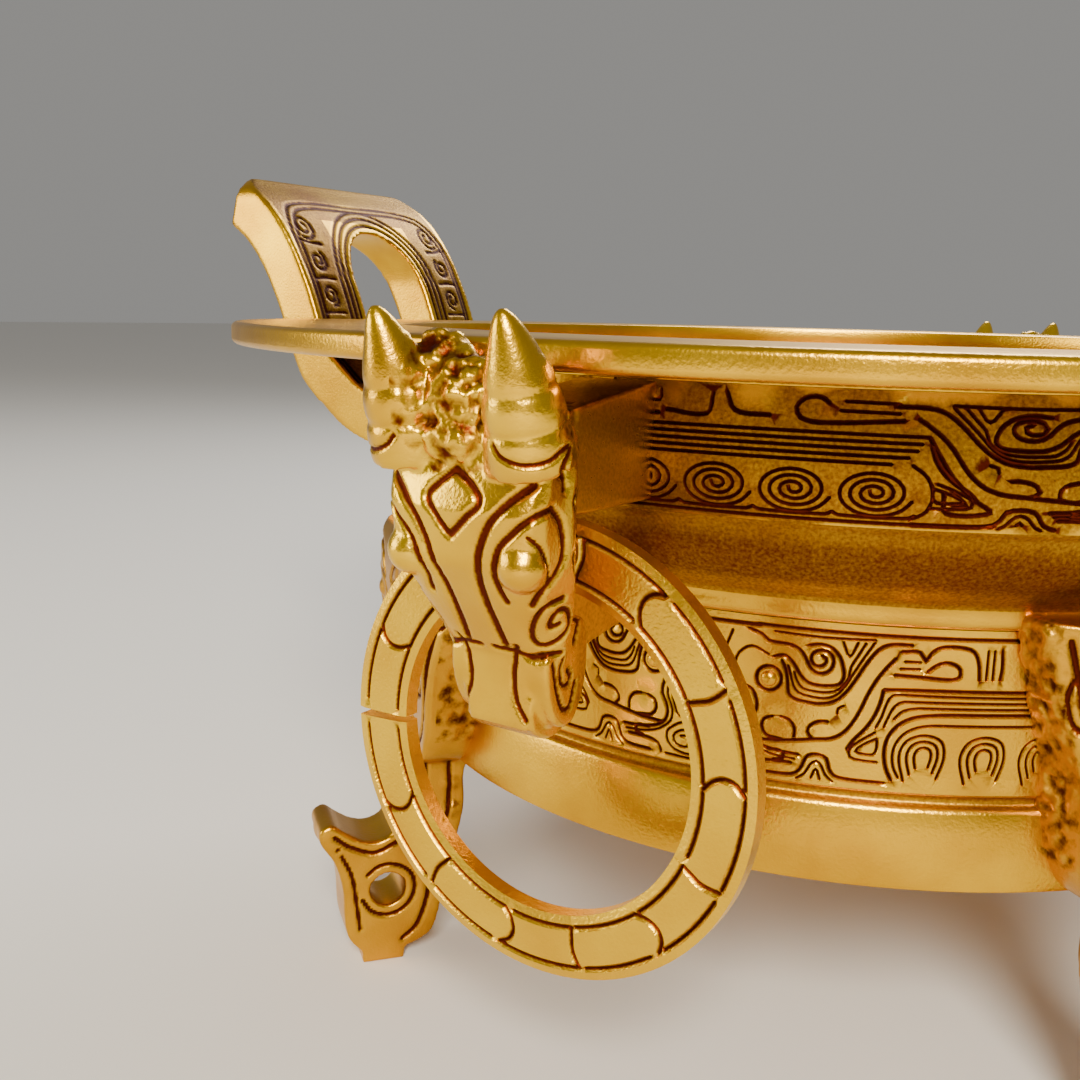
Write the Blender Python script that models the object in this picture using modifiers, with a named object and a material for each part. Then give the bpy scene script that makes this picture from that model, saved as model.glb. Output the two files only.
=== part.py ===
# Footed bronze basin with two upright ears, two horned beast heads that hold
# swinging rings, and four beast legs.
#
# Lengths are metres, +Z is up and the floor is at Z = 0. The heads are on the
# Y axis and the ears on the X axis. The legs and the foot's pattern are turned
# a little past the diagonals. Heights that are named below_rim count down from
# the flat top of the rim. A shape table holds shares of the sizes it names.

import math

import bmesh
import bpy
from mathutils import Matrix, Vector

OBJECT_NAME = "footed_basin"

# Overall sizes
RIM_RADIUS = 0.1340
RIM_HEIGHT = 0.1310
LIP_THICKNESS = 0.0042
LIP_ROUND = 0.0007
LIP_FILLET = 0.0012
WALL = 0.0034
FIT_GAP = 0.0003
TURN_SIDES = 40

# Belly band and the plain curve under it
LIP_REACH = 0.0306
NECK_RADIUS = RIM_RADIUS - LIP_REACH
BELLY_BULGE = 0.0008
BELLY_RADIUS = NECK_RADIUS + BELLY_BULGE
BELLY_TOP = 0.0074
BELLY_BOTTOM = 0.0258
BELLY_STEP = 0.0014
TUCK_DROP = 0.0132
TUCK_SHAPE = ((0.30, 0.48), (0.584, 0.78))
FLOOR_SHAPE = ((0.484, 0.21), (0.82, 0.75))

# Ring foot
FOOT_INSET = 0.0118
FOOT_RADIUS = NECK_RADIUS - FOOT_INSET
FOOT_FILLET = 0.0018
FOOT_TOP = BELLY_BOTTOM + TUCK_DROP
FOOT_BAND_TOP = FOOT_TOP + 0.0042
FOOT_BAND_HEIGHT = 0.0266
FOOT_BAND_BOTTOM = FOOT_BAND_TOP + FOOT_BAND_HEIGHT
FOOT_GROOVE = 0.0007
SKIRT_TOP = FOOT_BAND_BOTTOM + 0.0026
SKIRT_HEIGHT = 0.0131
SKIRT_BOTTOM = SKIRT_TOP + SKIRT_HEIGHT
SKIRT_FLARE = 0.0022
SKIRT_RADIUS = FOOT_RADIUS + SKIRT_FLARE
SKIRT_THICKNESS = 0.0050
FOOT_TURN = math.radians(7.6)

# Raised pattern
RELIEF_RISE = 0.0007
RELIEF_ROOT = 0.0016
RIBBON_SHARE = 0.085
MOTIFS_PER_QUARTER = 2
BAND_CLEAR = math.radians(1.8)

# Ears. The middle of the slab in side view: under the rim it holds shares of the
# run from its root to the rim's edge, above it shares of the reach and the rise.
EAR_HALF_WIDTH = 0.0335
EAR_ROOT_SHARE = 0.94
EAR_THICKNESS = 0.0124
EAR_CORNER = 0.0070
EAR_HOLE_HALF = 0.0140
EAR_HOLE_TOP = 0.0235
EAR_HOLE_BOTTOM = -0.0165
EAR_ROOT_IN = 0.0040
EAR_ROOT_DROP = 0.0030
EAR_PASS = 0.0112
EAR_UNDER_SHAPE = ((0.0, 0.0), (0.30, 0.15), (0.61, 0.35), (0.83, 0.67), (1.0, 1.0))
EAR_REACH = 0.0280
EAR_RISE = 0.0305
EAR_END_SKEW = 0.0022
EAR_SHAPE = ((0.15, 0.0), (0.257, 0.23), (0.45, 0.541), (0.686, 0.797), (1.0, 1.0))

# Rings
RING_OUTER = 0.0352
RING_INNER = 0.0254
RING_THICKNESS = 0.0034
RING_CLEARANCE = 0.0006
RING_SIDES = 36
RING_SLIT = 0.0012
RING_SLIT_ANGLE = math.radians(182.0)
RING_TOP_BELOW_RIM = 0.0252
RING_INSET = 0.0132
RING_PLANE = RIM_RADIUS - RING_INSET

# Heads. A level of the shape holds its place down the head, then shares of the
# depth at the back, the half width, the depth at the front and the half width
# of the front.
HEAD_TOP = 0.0090
HEAD_LENGTH = 0.0400
HEAD_DEPTH = 0.0166
HEAD_HALF_WIDTH = 0.0126
HEAD_SHAPE = (
    (0.0, 0.12, 0.70, 0.64, 0.556),
    (0.075, 0.05, 0.92, 0.795, 0.81),
    (0.20, 0.0, 1.0, 0.916, 0.92),
    (0.325, 0.0, 1.0, 1.0, 0.905),
    (0.50, 0.0, 0.97, 0.94, 0.81),
    (0.675, 0.0, 0.89, 0.675, 0.667),
    (0.85, 0.0, 0.79, 0.42, 0.53),
    (1.0, 0.0, 0.62, 0.373, 0.476),
)
HEAD_SECTION = ((0.0, 0.22), (0.05, 0.50), (0.115, 0.78), (0.20, 1.0), (0.55, 0.97))
HEAD_FRONT_ROUND = ((0.13, 1.0), (0.02, 0.5))
FACE_SHIFT = -0.0012
NECK_HALF_WIDTH = 0.0070
NECK_LAP = 0.0040
NECK_DROP = 0.0100
THROAT_HALF_WIDTH = 0.0042
THROAT_IN = 0.0010
THROAT_LAP = 0.0030
THROAT_HEIGHTS = (0.0058, 0.0110)
HORN_RADIUS = 0.0064
HORN_SIDES = 8
HORN_SPREAD = 0.0098
HORN_SEAT = 0.0030
HORN_BASE = 0.0150
HORN_LENGTH = 0.0203
HORN_OUT = 0.0058
HORN_SPLAY = 0.0006
HORN_SHAPE = (
    (0.0, 1.0), (0.21, 1.02), (0.25, 0.90), (0.29, 0.98), (0.46, 0.90),
    (0.50, 0.79), (0.54, 0.86), (0.84, 0.54), (1.0, 0.16),
)
EYE_RADIUS = 0.0040
EYE_SPREAD = 0.0096
EYE_SEAT = 0.0042
EYE_BELOW_RIM = 0.0292
BROW_WIDTH = 0.0018
BROW_ROOT = 0.0030
BROW_TOP = 0.0175
BROW_DROP = 0.0262
BROW_SPREAD = 0.0096
BROW_GAP = 0.0024
BROW_SIDES = 5
SNOUT_RADIUS = 0.0054
SNOUT_HALF_WIDTH = 0.0056
SNOUT_OUT = 0.0008
SNOUT_SIDES = 10
SNOUT_BELOW_RIM = 0.0503
CREST_RADII = (0.0046, 0.0064, 0.0062)
CREST_OUT = 0.0034
CREST_ACROSS = -0.0036
CREST_BELOW_RIM = 0.0080

# Legs. Under the skirt, a point of the side view holds a share of the reach out
# from the foot's wall and a share of the clear height under the skirt.
LEG_REACH = 0.0282
LEG_PROUD = 0.0129
LEG_ROOT = 0.0030
LEG_MASK_SHAPE = ((0.30, 0.0), (0.82, 0.04), (1.0, 0.17), (0.95, 0.40), (0.80, 0.63), (0.74, 1.0))
LEG_FRONT_SHAPE = (
    (0.365, 0.893), (0.394, 0.718), (0.496, 0.607), (0.652, 0.587), (0.819, 0.640), (0.915, 0.682),
    (1.0, 0.651), (0.989, 0.593), (0.894, 0.498), (0.833, 0.360), (0.819, 0.204), (0.787, 0.082),
)
LEG_BACK_SHAPE = (
    (0.270, 0.075), (0.160, 0.120), (0.092, 0.284), (0.064, 0.447), (-0.007, 0.593),
    (-0.053, 0.742), (-0.046, 0.900),
)
LEG_HALF_WIDTH = 0.0255
LEG_MASK_WIDTHS = ((0.0, 1.0), (0.09, 0.98), (0.34, 0.86), (0.66, 0.727), (0.80, 0.71), (0.97, 0.58))
LEG_SHANK_HALF = 0.0080
LEG_FOOT_HALF = 0.0062
LEG_SHANK_WIDTHS = ((0.93, 1.0), (0.58, 0.95))
LEG_FOOT_RISE = 0.32
LEG_PLAN_SHAPE = ((0.44, 0.99), (0.71, 0.86), (0.90, 0.67), (0.98, 0.40))
LEG_EYE_RADIUS = 0.0034
LEG_EYE_SPREAD = 0.0145
LEG_EYE_SEAT = 0.0036
LEG_EYE_DROP = 0.0120
LEG_SNOUT_RADII = (0.0040, 0.0046, 0.0060)
LEG_SNOUT_SEAT = 0.0016
LEG_SNOUT_DROP = 0.0250
PAD_INSET = 0.0106
PAD_IN = FOOT_RADIUS + PAD_INSET
PAD_DEPTH = 0.0089
PAD_OUT = PAD_IN + PAD_DEPTH
PAD_HEIGHT = 0.0026
LEG_HOLE_RADIUS = 0.0037
LEG_HOLE_SHAPE = (0.504, 0.344)
LEG_HOLE_SIDES = 8

GOLD = (0.72, 0.46, 0.07, 1.0)
RING_GOLD = (0.80, 0.56, 0.10, 1.0)
DARK_GOLD = (0.52, 0.27, 0.05, 1.0)


def clear_scene():
    for old in list(bpy.data.objects):
        bpy.data.objects.remove(old, do_unlink=True)


def make_collection(name):
    collection = bpy.data.collections.new(name)
    bpy.context.scene.collection.children.link(collection)
    return collection


def make_material(name, colour, roughness):
    material = bpy.data.materials.new(name)
    material.use_nodes = True
    shader = material.node_tree.nodes["Principled BSDF"]
    shader.inputs["Base Color"].default_value = colour
    shader.inputs["Metallic"].default_value = 1.0
    shader.inputs["Roughness"].default_value = roughness
    return material


def at(r, below_rim):
    """A profile point: radius and height above the floor."""
    return (r, RIM_HEIGHT - below_rim)


def add_object(name, bm, collection):
    bmesh.ops.recalc_face_normals(bm, faces=bm.faces)
    mesh = bpy.data.meshes.new(name)
    bm.to_mesh(mesh)
    bm.free()
    obj = bpy.data.objects.new(name, mesh)
    collection.objects.link(obj)
    return obj


# Turned profiles

def outer_profile():
    """The basin's outside, from the rim's outer top edge down to the foot's bottom."""
    mid = (BELLY_TOP + BELLY_BOTTOM) / 2
    tuck_in = BELLY_RADIUS - FOOT_RADIUS
    tuck = [
        at(BELLY_RADIUS - tuck_in * inward, BELLY_BOTTOM + TUCK_DROP * down)
        for inward, down in TUCK_SHAPE
    ]
    return [
        at(RIM_RADIUS - LIP_ROUND, 0.0),
        at(RIM_RADIUS, LIP_ROUND),
        at(RIM_RADIUS, LIP_THICKNESS - LIP_ROUND),
        at(RIM_RADIUS - LIP_ROUND, LIP_THICKNESS),
        at(NECK_RADIUS, LIP_THICKNESS + LIP_FILLET),
        at(BELLY_RADIUS, mid),
        at(NECK_RADIUS, BELLY_BOTTOM),
        at(NECK_RADIUS - BELLY_STEP, BELLY_BOTTOM + BELLY_STEP),
        *tuck,
        at(FOOT_RADIUS + FOOT_FILLET, FOOT_TOP),
        at(FOOT_RADIUS + FOOT_FILLET, FOOT_BAND_TOP - FOOT_FILLET / 2),
        at(FOOT_RADIUS, FOOT_BAND_TOP),
        at(FOOT_RADIUS, FOOT_BAND_BOTTOM),
        at(FOOT_RADIUS - FOOT_GROOVE, FOOT_BAND_BOTTOM + FOOT_GROOVE),
        at(FOOT_RADIUS - FOOT_GROOVE, SKIRT_TOP - FOOT_GROOVE),
        at(FOOT_RADIUS + FOOT_GROOVE, SKIRT_TOP),
        at(SKIRT_RADIUS, SKIRT_BOTTOM),
    ]


def basin_profile():
    """The whole section of the basin, from the centre of its floor round to its underside."""
    floor = FOOT_TOP - WALL
    mouth = NECK_RADIUS - WALL
    edge = FOOT_RADIUS - SKIRT_THICKNESS
    rise = floor - (BELLY_BOTTOM - WALL)
    inside = [at(0.0, floor), at(edge, floor)]
    inside += [at(edge + (mouth - edge) * out, floor - rise * up * up) for out, up in FLOOR_SHAPE]
    inside += [
        at(mouth - LIP_ROUND, BELLY_BOTTOM - WALL),
        at(mouth, LIP_THICKNESS),
        at(mouth - FIT_GAP, 0.0),
    ]
    foot_wall = FOOT_RADIUS - FOOT_GROOVE - WALL
    under = [
        at(SKIRT_RADIUS - SKIRT_THICKNESS, SKIRT_BOTTOM),
        at(foot_wall, SKIRT_TOP - FOOT_GROOVE),
        at(foot_wall, FOOT_TOP + WALL),
        at(foot_wall - WALL, FOOT_TOP),
        at(0.0, FOOT_TOP),
    ]
    return inside + outer_profile() + under


def pushed_out(points, gap):
    """The same line moved outwards by a gap, for what seats on the basin."""
    moved = []
    for index, point in enumerate(points):
        before = Vector(points[max(index - 1, 0)])
        after = Vector(points[min(index + 1, len(points) - 1)])
        along = (after - before).normalized()
        moved.append((point[0] - along.y * gap, point[1] + along.x * gap))
    return moved


def turned(name, profile, collection, material=None):
    """A turned piece: a profile from axis to axis with a Screw modifier round Z."""
    mesh = bpy.data.meshes.new(name)
    edges = [(i, i + 1) for i in range(len(profile) - 1)]
    mesh.from_pydata([(r, 0.0, z) for r, z in profile], edges, [])
    obj = bpy.data.objects.new(name, mesh)
    collection.objects.link(obj)
    if material:
        mesh.materials.append(material)
    screw = obj.modifiers.new("turn", "SCREW")
    screw.steps = TURN_SIDES
    screw.render_steps = TURN_SIDES
    screw.use_merge_vertices = True
    screw.merge_threshold = 0.00001
    screw.use_smooth_shade = False
    return obj


def basin_cutter(collection):
    """A solid of the basin's outside, pushed out by the fit gap."""
    line = pushed_out(outer_profile(), FIT_GAP)
    top = (line[0][0], RIM_HEIGHT + FIT_GAP)
    bottom = (line[-1][0], RIM_HEIGHT - SKIRT_BOTTOM - FIT_GAP)
    profile = [(0.0, top[1]), top] + line[1:-1] + [bottom, (0.0, bottom[1])]
    cutter = turned("basin_outside", profile, collection)
    cutter.hide_render = True
    cutter.display_type = "WIRE"
    return cutter


# Joining and cutting

def boolean(target, tool, operation):
    modifier = target.modifiers.new(operation.lower(), "BOOLEAN")
    modifier.operation = operation
    modifier.solver = "EXACT"
    modifier.object = tool
    return modifier


def freeze(obj):
    """Apply an object's modifiers to its mesh."""
    graph = bpy.context.evaluated_depsgraph_get()
    mesh = bpy.data.meshes.new_from_object(obj.evaluated_get(graph))
    for material in obj.data.materials:
        if material and material.name not in mesh.materials:
            mesh.materials.append(material)
    obj.modifiers.clear()
    obj.data = mesh


def combine(target, pieces, operation="UNION"):
    """Join or cut scratch pieces into a target one by one, then drop them."""
    for piece in pieces:
        boolean(target, piece, operation)
        freeze(target)
        bpy.data.objects.remove(piece, do_unlink=True)


def prism(name, outline, low, high, to_world, collection):
    """An outline in two named directions, drawn out from low to high along the third."""
    bm = bmesh.new()
    corners = [bm.verts.new(to_world(a, b, low)) for a, b in outline]
    face = bm.faces.new(corners)
    drawn = bmesh.ops.extrude_face_region(bm, geom=[face])
    moved = [item for item in drawn["geom"] if isinstance(item, bmesh.types.BMVert)]
    shift = to_world(0.0, 0.0, high) - to_world(0.0, 0.0, low)
    bmesh.ops.translate(bm, verts=moved, vec=shift)
    return add_object(name, bm, collection)


def ball(name, centre, radii, sides, collection):
    bm = bmesh.new()
    bmesh.ops.create_uvsphere(bm, u_segments=sides, v_segments=sides // 2 + 1, radius=1.0)
    bmesh.ops.scale(bm, vec=radii, verts=bm.verts)
    bmesh.ops.translate(bm, vec=centre, verts=bm.verts)
    return add_object(name, bm, collection)


def loft(name, rows, collection):
    """Skin a list of closed rows of points, and cap both ends."""
    bm = bmesh.new()
    rings = [[bm.verts.new(point) for point in row] for row in rows]
    count = len(rows[0])
    for lower, upper in zip(rings, rings[1:]):
        for i in range(count):
            j = (i + 1) % count
            bm.faces.new((lower[i], lower[j], upper[j], upper[i]))
    bm.faces.new(list(reversed(rings[0])))
    bm.faces.new(rings[-1])
    return add_object(name, bm, collection)


# Raised pattern bands

def curl_path(length, height, turns=1.0, steps=6):
    """A ribbon that leaves a curl, falls in an S and runs along the lower border."""
    curl = height * 0.22
    centre = (length * 0.24, height * 0.20)
    last = 2.80 * math.pi
    path = []
    for i in range(steps):
        share = i / (steps - 1)
        angle = last - 2 * math.pi * turns * (1 - share)
        reach = curl * (0.34 + 0.66 * share)
        path.append((centre[0] - reach * math.cos(angle), centre[1] + reach * math.sin(angle)))
    path.append((length * 0.46, height * 0.11))
    path.append((length * 0.55, -height * 0.17))
    path.append((length * 0.68, -height * 0.32))
    path.append((length * 0.95, -height * 0.32))
    return path


def border_path(length, height):
    """The hooked line under the band's upper border."""
    return [
        (length * 0.52, height * 0.38),
        (length * 0.93, height * 0.38),
        (length * 0.93, height * 0.10),
        (length * 0.72, height * 0.10),
    ]


def oval_path(length, height, sides=5):
    """A closed oval in the lower near corner of the motif."""
    centre = (length * 0.25, -height * 0.30)
    radii = (length * 0.13, height * 0.10)
    angles = [2 * math.pi * i / sides for i in range(sides)]
    return [(centre[0] + radii[0] * math.cos(a), centre[1] + radii[1] * math.sin(a)) for a in angles]


def raised_ribbon(name, path, closed, width, start, facing, middle, radius_at, collection):
    """A raised strip that follows a path on the turned wall.

    Path points are lengths along the wall and heights from the band's middle.
    """
    count = len(path)
    rows = []
    for i, (along, up) in enumerate(path):
        before = Vector(path[i - 1] if i or closed else path[0])
        after = Vector(path[(i + 1) % count] if i < count - 1 or closed else path[-1])
        side = (after - before).normalized().orthogonal() * width / 2
        row = []
        for sign, rise in ((1, -RELIEF_ROOT), (1, RELIEF_RISE), (-1, RELIEF_RISE), (-1, -RELIEF_ROOT)):
            z = middle + up + sign * side.y
            radius = radius_at(z)
            angle = start + facing * (along + sign * side.x) / radius
            reach = radius + rise
            row.append((reach * math.cos(angle), reach * math.sin(angle), z))
        rows.append(row)
    if not closed:
        return loft(name, rows, collection)
    bm = bmesh.new()
    rings = [[bm.verts.new(point) for point in row] for row in rows]
    for i in range(count):
        this_ring = rings[i]
        next_ring = rings[(i + 1) % count]
        for k in range(4):
            m = (k + 1) % 4
            bm.faces.new((this_ring[k], this_ring[m], next_ring[m], next_ring[k]))
    return add_object(name, bm, collection)


def belly_radius_at(z):
    below = RIM_HEIGHT - z
    middle = (BELLY_TOP + BELLY_BOTTOM) / 2
    share = min(abs(below - middle) / (BELLY_BOTTOM - middle), 1.0)
    return BELLY_RADIUS + (NECK_RADIUS - BELLY_RADIUS) * share


def foot_radius_at(z):
    return FOOT_RADIUS


def add_band(basin, top, bottom, radius_at, quarter_start, clear_angles, collection):
    """Motifs in each quarter, clear of what is soldered on at the quarter's two ends."""
    height = bottom - top
    middle = RIM_HEIGHT - (top + bottom) / 2
    each = (math.pi / 2 - sum(clear_angles)) / MOTIFS_PER_QUARTER
    length = each * radius_at(middle)
    shapes = (
        ("curl", curl_path(length, height), False),
        ("hook", border_path(length, height), False),
        ("oval", oval_path(length, height), True),
    )
    for quarter in range(4):
        quarter_clear = clear_angles[quarter % 2]
        for motif in range(MOTIFS_PER_QUARTER):
            facing = 1 if motif % 2 == 0 else -1
            edge = motif if facing == 1 else motif + 1
            start = quarter_start + quarter * math.pi / 2 + quarter_clear + edge * each
            strips = [
                raised_ribbon(name, path, closed, height * RIBBON_SHARE, start, facing, middle,
                              radius_at, collection)
                for name, path, closed in shapes
            ]
            combine(basin, strips)


def make_basin(collection, scratch, material):
    basin = turned("basin", basin_profile(), collection, material)
    freeze(basin)
    ear_angle = math.asin(EAR_HALF_WIDTH / NECK_RADIUS) + BAND_CLEAR
    neck_angle = math.asin(NECK_HALF_WIDTH / NECK_RADIUS) + BAND_CLEAR
    leg_angle = math.asin(LEG_HALF_WIDTH * LEG_MASK_WIDTHS[2][1] / FOOT_RADIUS) + BAND_CLEAR
    add_band(basin, BELLY_TOP, BELLY_BOTTOM, belly_radius_at, 0.0, (ear_angle, neck_angle), scratch)
    add_band(basin, FOOT_BAND_TOP, FOOT_BAND_BOTTOM, foot_radius_at, math.pi / 4 + FOOT_TURN,
             (leg_angle, leg_angle), scratch)
    return basin


# Ears

def ear_line():
    """The middle of the ear's slab in side view: S-shaped, from the belly out and up."""
    root, drop = NECK_RADIUS - EAR_ROOT_IN, BELLY_BOTTOM + EAR_ROOT_DROP
    line = [
        at(root + (RIM_RADIUS - root) * out, drop - (drop - EAR_PASS) * up)
        for out, up in EAR_UNDER_SHAPE
    ]
    return line + [at(RIM_RADIUS + EAR_REACH * out, -EAR_RISE * up) for out, up in EAR_SHAPE]


def thick_outline(line, thickness):
    """Both sides of a line, as one closed outline."""
    left = pushed_out(line, thickness / 2)
    right = pushed_out(line, -thickness / 2)
    return left + right[::-1]


def arc(centre, radius, first, last, steps):
    angles = [first + (last - first) * i / steps for i in range(steps + 1)]
    return [(centre[0] + radius * math.cos(a), centre[1] + radius * math.sin(a)) for a in angles]


def round_outline(centre, radius, sides):
    return arc(centre, radius, 0.0, 2 * math.pi * (1 - 1 / sides), sides - 1)


def ear_side_outline():
    """Side view of an ear, its upper end cut nearly upright."""
    line = ear_line()
    outline = thick_outline(line, EAR_THICKNESS)
    along = (Vector(line[-1]) - Vector(line[-2])).normalized() * EAR_END_SKEW
    upper, lower = sorted((len(line) - 1, len(line)), key=lambda i: -outline[i][1])
    outline[upper] = tuple(Vector(outline[upper]) + along)
    outline[lower] = tuple(Vector(outline[lower]) - along)
    return outline


def make_ear(name, turn, cutter, collection, scratch, material):
    """An upright handle: a bent slab with rounded corners and an arched hole."""
    side = side_block(name, ear_side_outline(), EAR_HALF_WIDTH, collection)
    line = ear_line()
    top = line[-1][1] + EAR_THICKNESS / 2
    low = line[0][1] - EAR_THICKNESS
    corner = EAR_HALF_WIDTH - EAR_CORNER
    root = EAR_HALF_WIDTH * EAR_ROOT_SHARE
    front = [(-root, low), (root, low)]
    front += [(EAR_HALF_WIDTH, RIM_HEIGHT)]
    front += arc((corner, top - EAR_CORNER), EAR_CORNER, 0.0, math.pi / 2, 4)
    front += arc((-corner, top - EAR_CORNER), EAR_CORNER, math.pi / 2, math.pi, 4)
    front += [(-EAR_HALF_WIDTH, RIM_HEIGHT)]
    reach = line[-1][0] + EAR_THICKNESS
    across = prism(
        "ear_front", front, 0.0, reach, lambda y, z, r: Vector((r, y, z)), scratch)
    hole = [(-EAR_HOLE_HALF, RIM_HEIGHT + EAR_HOLE_BOTTOM), (EAR_HOLE_HALF, RIM_HEIGHT + EAR_HOLE_BOTTOM)]
    hole += arc(
        (0.0, RIM_HEIGHT + EAR_HOLE_TOP - EAR_HOLE_HALF), EAR_HOLE_HALF, 0.0, math.pi, 8)
    through = prism(
        "ear_hole", hole, NECK_RADIUS - EAR_THICKNESS, reach, lambda y, z, r: Vector((r, y, z)), scratch)
    combine(side, [across], "INTERSECT")
    combine(side, [through], "DIFFERENCE")
    boolean(side, cutter, "DIFFERENCE")
    finish_piece(side, turn, material)
    return side


def finish_piece(obj, turn, material):
    """Apply the last cut, turn the piece to its place and give it its material."""
    freeze(obj)
    obj.data.transform(Matrix.Rotation(turn, 4, "Z"))
    obj.data.materials.clear()
    obj.data.materials.append(material)


# Beast heads, modelled on +X and turned to their place

def ring_axis():
    """The hinge line of a ring, through the middle of the top of its band."""
    return at(RING_PLANE, RING_TOP_BELOW_RIM + (RING_OUTER - RING_INNER) / 2)


def swing_radius():
    """The space that the top of the band needs as the ring swings."""
    half_band = (RING_OUTER - RING_INNER) / 2
    return math.hypot(half_band, RING_THICKNESS / 2) + RING_CLEARANCE / 2


def head_row(below, back, half, front, half_front):
    """One level of the head: broad and rounded behind, a little narrower in front."""
    z = RIM_HEIGHT - below
    depth = front - back
    right = [(back + depth * out, half * wide) for out, wide in HEAD_SECTION]
    right += [(front - depth * inward, half_front * wide) for inward, wide in HEAD_FRONT_ROUND]
    left = [(r, -y) for r, y in reversed(right)]
    return [(r, y, z) for r, y in right + left]


def head_back():
    return RING_PLANE + swing_radius()


def head_levels():
    """Each level as: below the rim, back, half width, front, half width of the front."""
    return [
        (
            HEAD_TOP + HEAD_LENGTH * down,
            head_back() + HEAD_DEPTH * back,
            HEAD_HALF_WIDTH * half,
            head_back() + HEAD_DEPTH * front,
            HEAD_HALF_WIDTH * half_front,
        )
        for down, back, half, front, half_front in HEAD_SHAPE
    ]


def head_front_at(below):
    """The radius of the face's middle line at a level."""
    levels = head_levels()
    for upper, lower in zip(levels, levels[1:]):
        if upper[0] <= below <= lower[0]:
            share = (below - upper[0]) / (lower[0] - upper[0])
            return upper[3] + (lower[3] - upper[3]) * share
    return levels[-1][3]


def make_horn(sign, scratch):
    """A short cone that leans out, ringed near its base."""
    seat = head_front_at(HORN_BASE) - HORN_SEAT
    base = Vector((seat, FACE_SHIFT + sign * HORN_SPREAD, RIM_HEIGHT - HORN_BASE))
    lean = Vector((HORN_OUT, sign * HORN_SPLAY, HORN_LENGTH)).normalized()
    side = lean.orthogonal().normalized()
    other = lean.cross(side)
    rows = []
    for share, width in HORN_SHAPE:
        centre = base + lean * HORN_LENGTH * share
        row = []
        for i in range(HORN_SIDES):
            angle = 2 * math.pi * i / HORN_SIDES
            reach = HORN_RADIUS * width
            row.append(centre + side * reach * math.cos(angle) + other * reach * math.sin(angle))
        rows.append(row)
    return loft("horn", rows, scratch)


def make_ridge(points, width, scratch):
    """A raised rib of square section that follows points on the face."""
    rows = []
    for i, point in enumerate(points):
        here = Vector(point)
        along = (Vector(points[min(i + 1, len(points) - 1)]) - Vector(points[max(i - 1, 0)])).normalized()
        outward = Vector((1.0, math.copysign(0.45, here.y), 0.0)).normalized()
        side = along.cross(outward).normalized() * width / 2
        rise = outward * RELIEF_RISE
        root = outward * -BROW_ROOT
        rows.append([here + side + root, here + side + rise, here - side + rise, here - side + root])
    return loft("ridge", rows, scratch)


def side_block(name, outline, half, scratch):
    """A block drawn out sideways from its outline in side view."""
    return prism(name, outline, -half, half, lambda r, z, across: Vector((r, across, z)), scratch)


def brow_line(sign):
    """A rib from the outer brow down to the snout."""
    points = []
    for i in range(BROW_SIDES):
        share = i / (BROW_SIDES - 1)
        below = BROW_TOP + BROW_DROP * share
        across = sign * (BROW_SPREAD * (1 - share) ** 1.5 + BROW_GAP)
        points.append((head_front_at(below) - abs(across) / 5, FACE_SHIFT + across, RIM_HEIGHT - below))
    return points


def make_head(name, turn, cutter, collection, scratch, material):
    """A hanging head with horns, its neck above the ring and its throat below it."""
    head = loft(name, [head_row(*level) for level in head_levels()], collection)
    back = head_back()
    axis_height = ring_axis()[1]
    over_ring = axis_height + swing_radius() + RING_CLEARANCE
    under_ring = axis_height - swing_radius() - RING_CLEARANCE
    neck_in = NECK_RADIUS - WALL / 2
    neck = [
        (neck_in, over_ring),
        (back + NECK_LAP, over_ring),
        (back + NECK_LAP, RIM_HEIGHT - NECK_DROP),
        (neck_in, RIM_HEIGHT - LIP_THICKNESS - LIP_FILLET),
    ]
    throat = [
        (FOOT_RADIUS + THROAT_IN, under_ring - THROAT_HEIGHTS[0]),
        (back + THROAT_LAP, under_ring - THROAT_HEIGHTS[1]),
        (back + THROAT_LAP, under_ring),
        (FOOT_RADIUS + THROAT_IN, under_ring),
    ]
    snout = round_outline((back + SNOUT_OUT, RIM_HEIGHT - SNOUT_BELOW_RIM), SNOUT_RADIUS, SNOUT_SIDES)
    crest = Vector((RIM_RADIUS + CREST_OUT, CREST_ACROSS, RIM_HEIGHT - CREST_BELOW_RIM))
    pieces = [
        side_block("snout", snout, SNOUT_HALF_WIDTH, scratch),
        side_block("neck", neck, NECK_HALF_WIDTH, scratch),
        side_block("throat", throat, THROAT_HALF_WIDTH, scratch),
        ball("crest", crest, CREST_RADII, 8, scratch),
    ]
    for sign in (1, -1):
        pieces.append(make_horn(sign, scratch))
        eye_out = head_front_at(EYE_BELOW_RIM) - EYE_SEAT
        eye = Vector((eye_out, FACE_SHIFT + sign * EYE_SPREAD, RIM_HEIGHT - EYE_BELOW_RIM))
        pieces.append(ball("eye", eye, (EYE_RADIUS, EYE_RADIUS, EYE_RADIUS), 8, scratch))
        pieces.append(make_ridge(brow_line(sign), BROW_WIDTH, scratch))
    combine(head, pieces)
    boolean(head, cutter, "DIFFERENCE")
    finish_piece(head, turn, material)
    return head


def make_ring(name, parent, collection, material):
    """A flat ring with a narrow slit, its origin on the hinge line."""
    drop = -(RING_OUTER + RING_INNER) / 2
    slit = RING_SLIT / RING_OUTER
    rows = []
    for i in range(RING_SIDES + 1):
        angle = RING_SLIT_ANGLE + slit / 2 + (2 * math.pi - slit) * i / RING_SIDES
        row = []
        for reach, deep in (
            (RING_INNER, -1), (RING_OUTER, -1), (RING_OUTER, 1), (RING_INNER, 1),
        ):
            row.append((
                deep * RING_THICKNESS / 2,
                reach * math.cos(angle),
                drop + reach * math.sin(angle),
            ))
        rows.append(row)
    ring = loft(name, rows, collection)
    ring.data.materials.append(material)
    ring.parent = parent
    return ring


# Legs, modelled on +X and turned to their place

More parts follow.
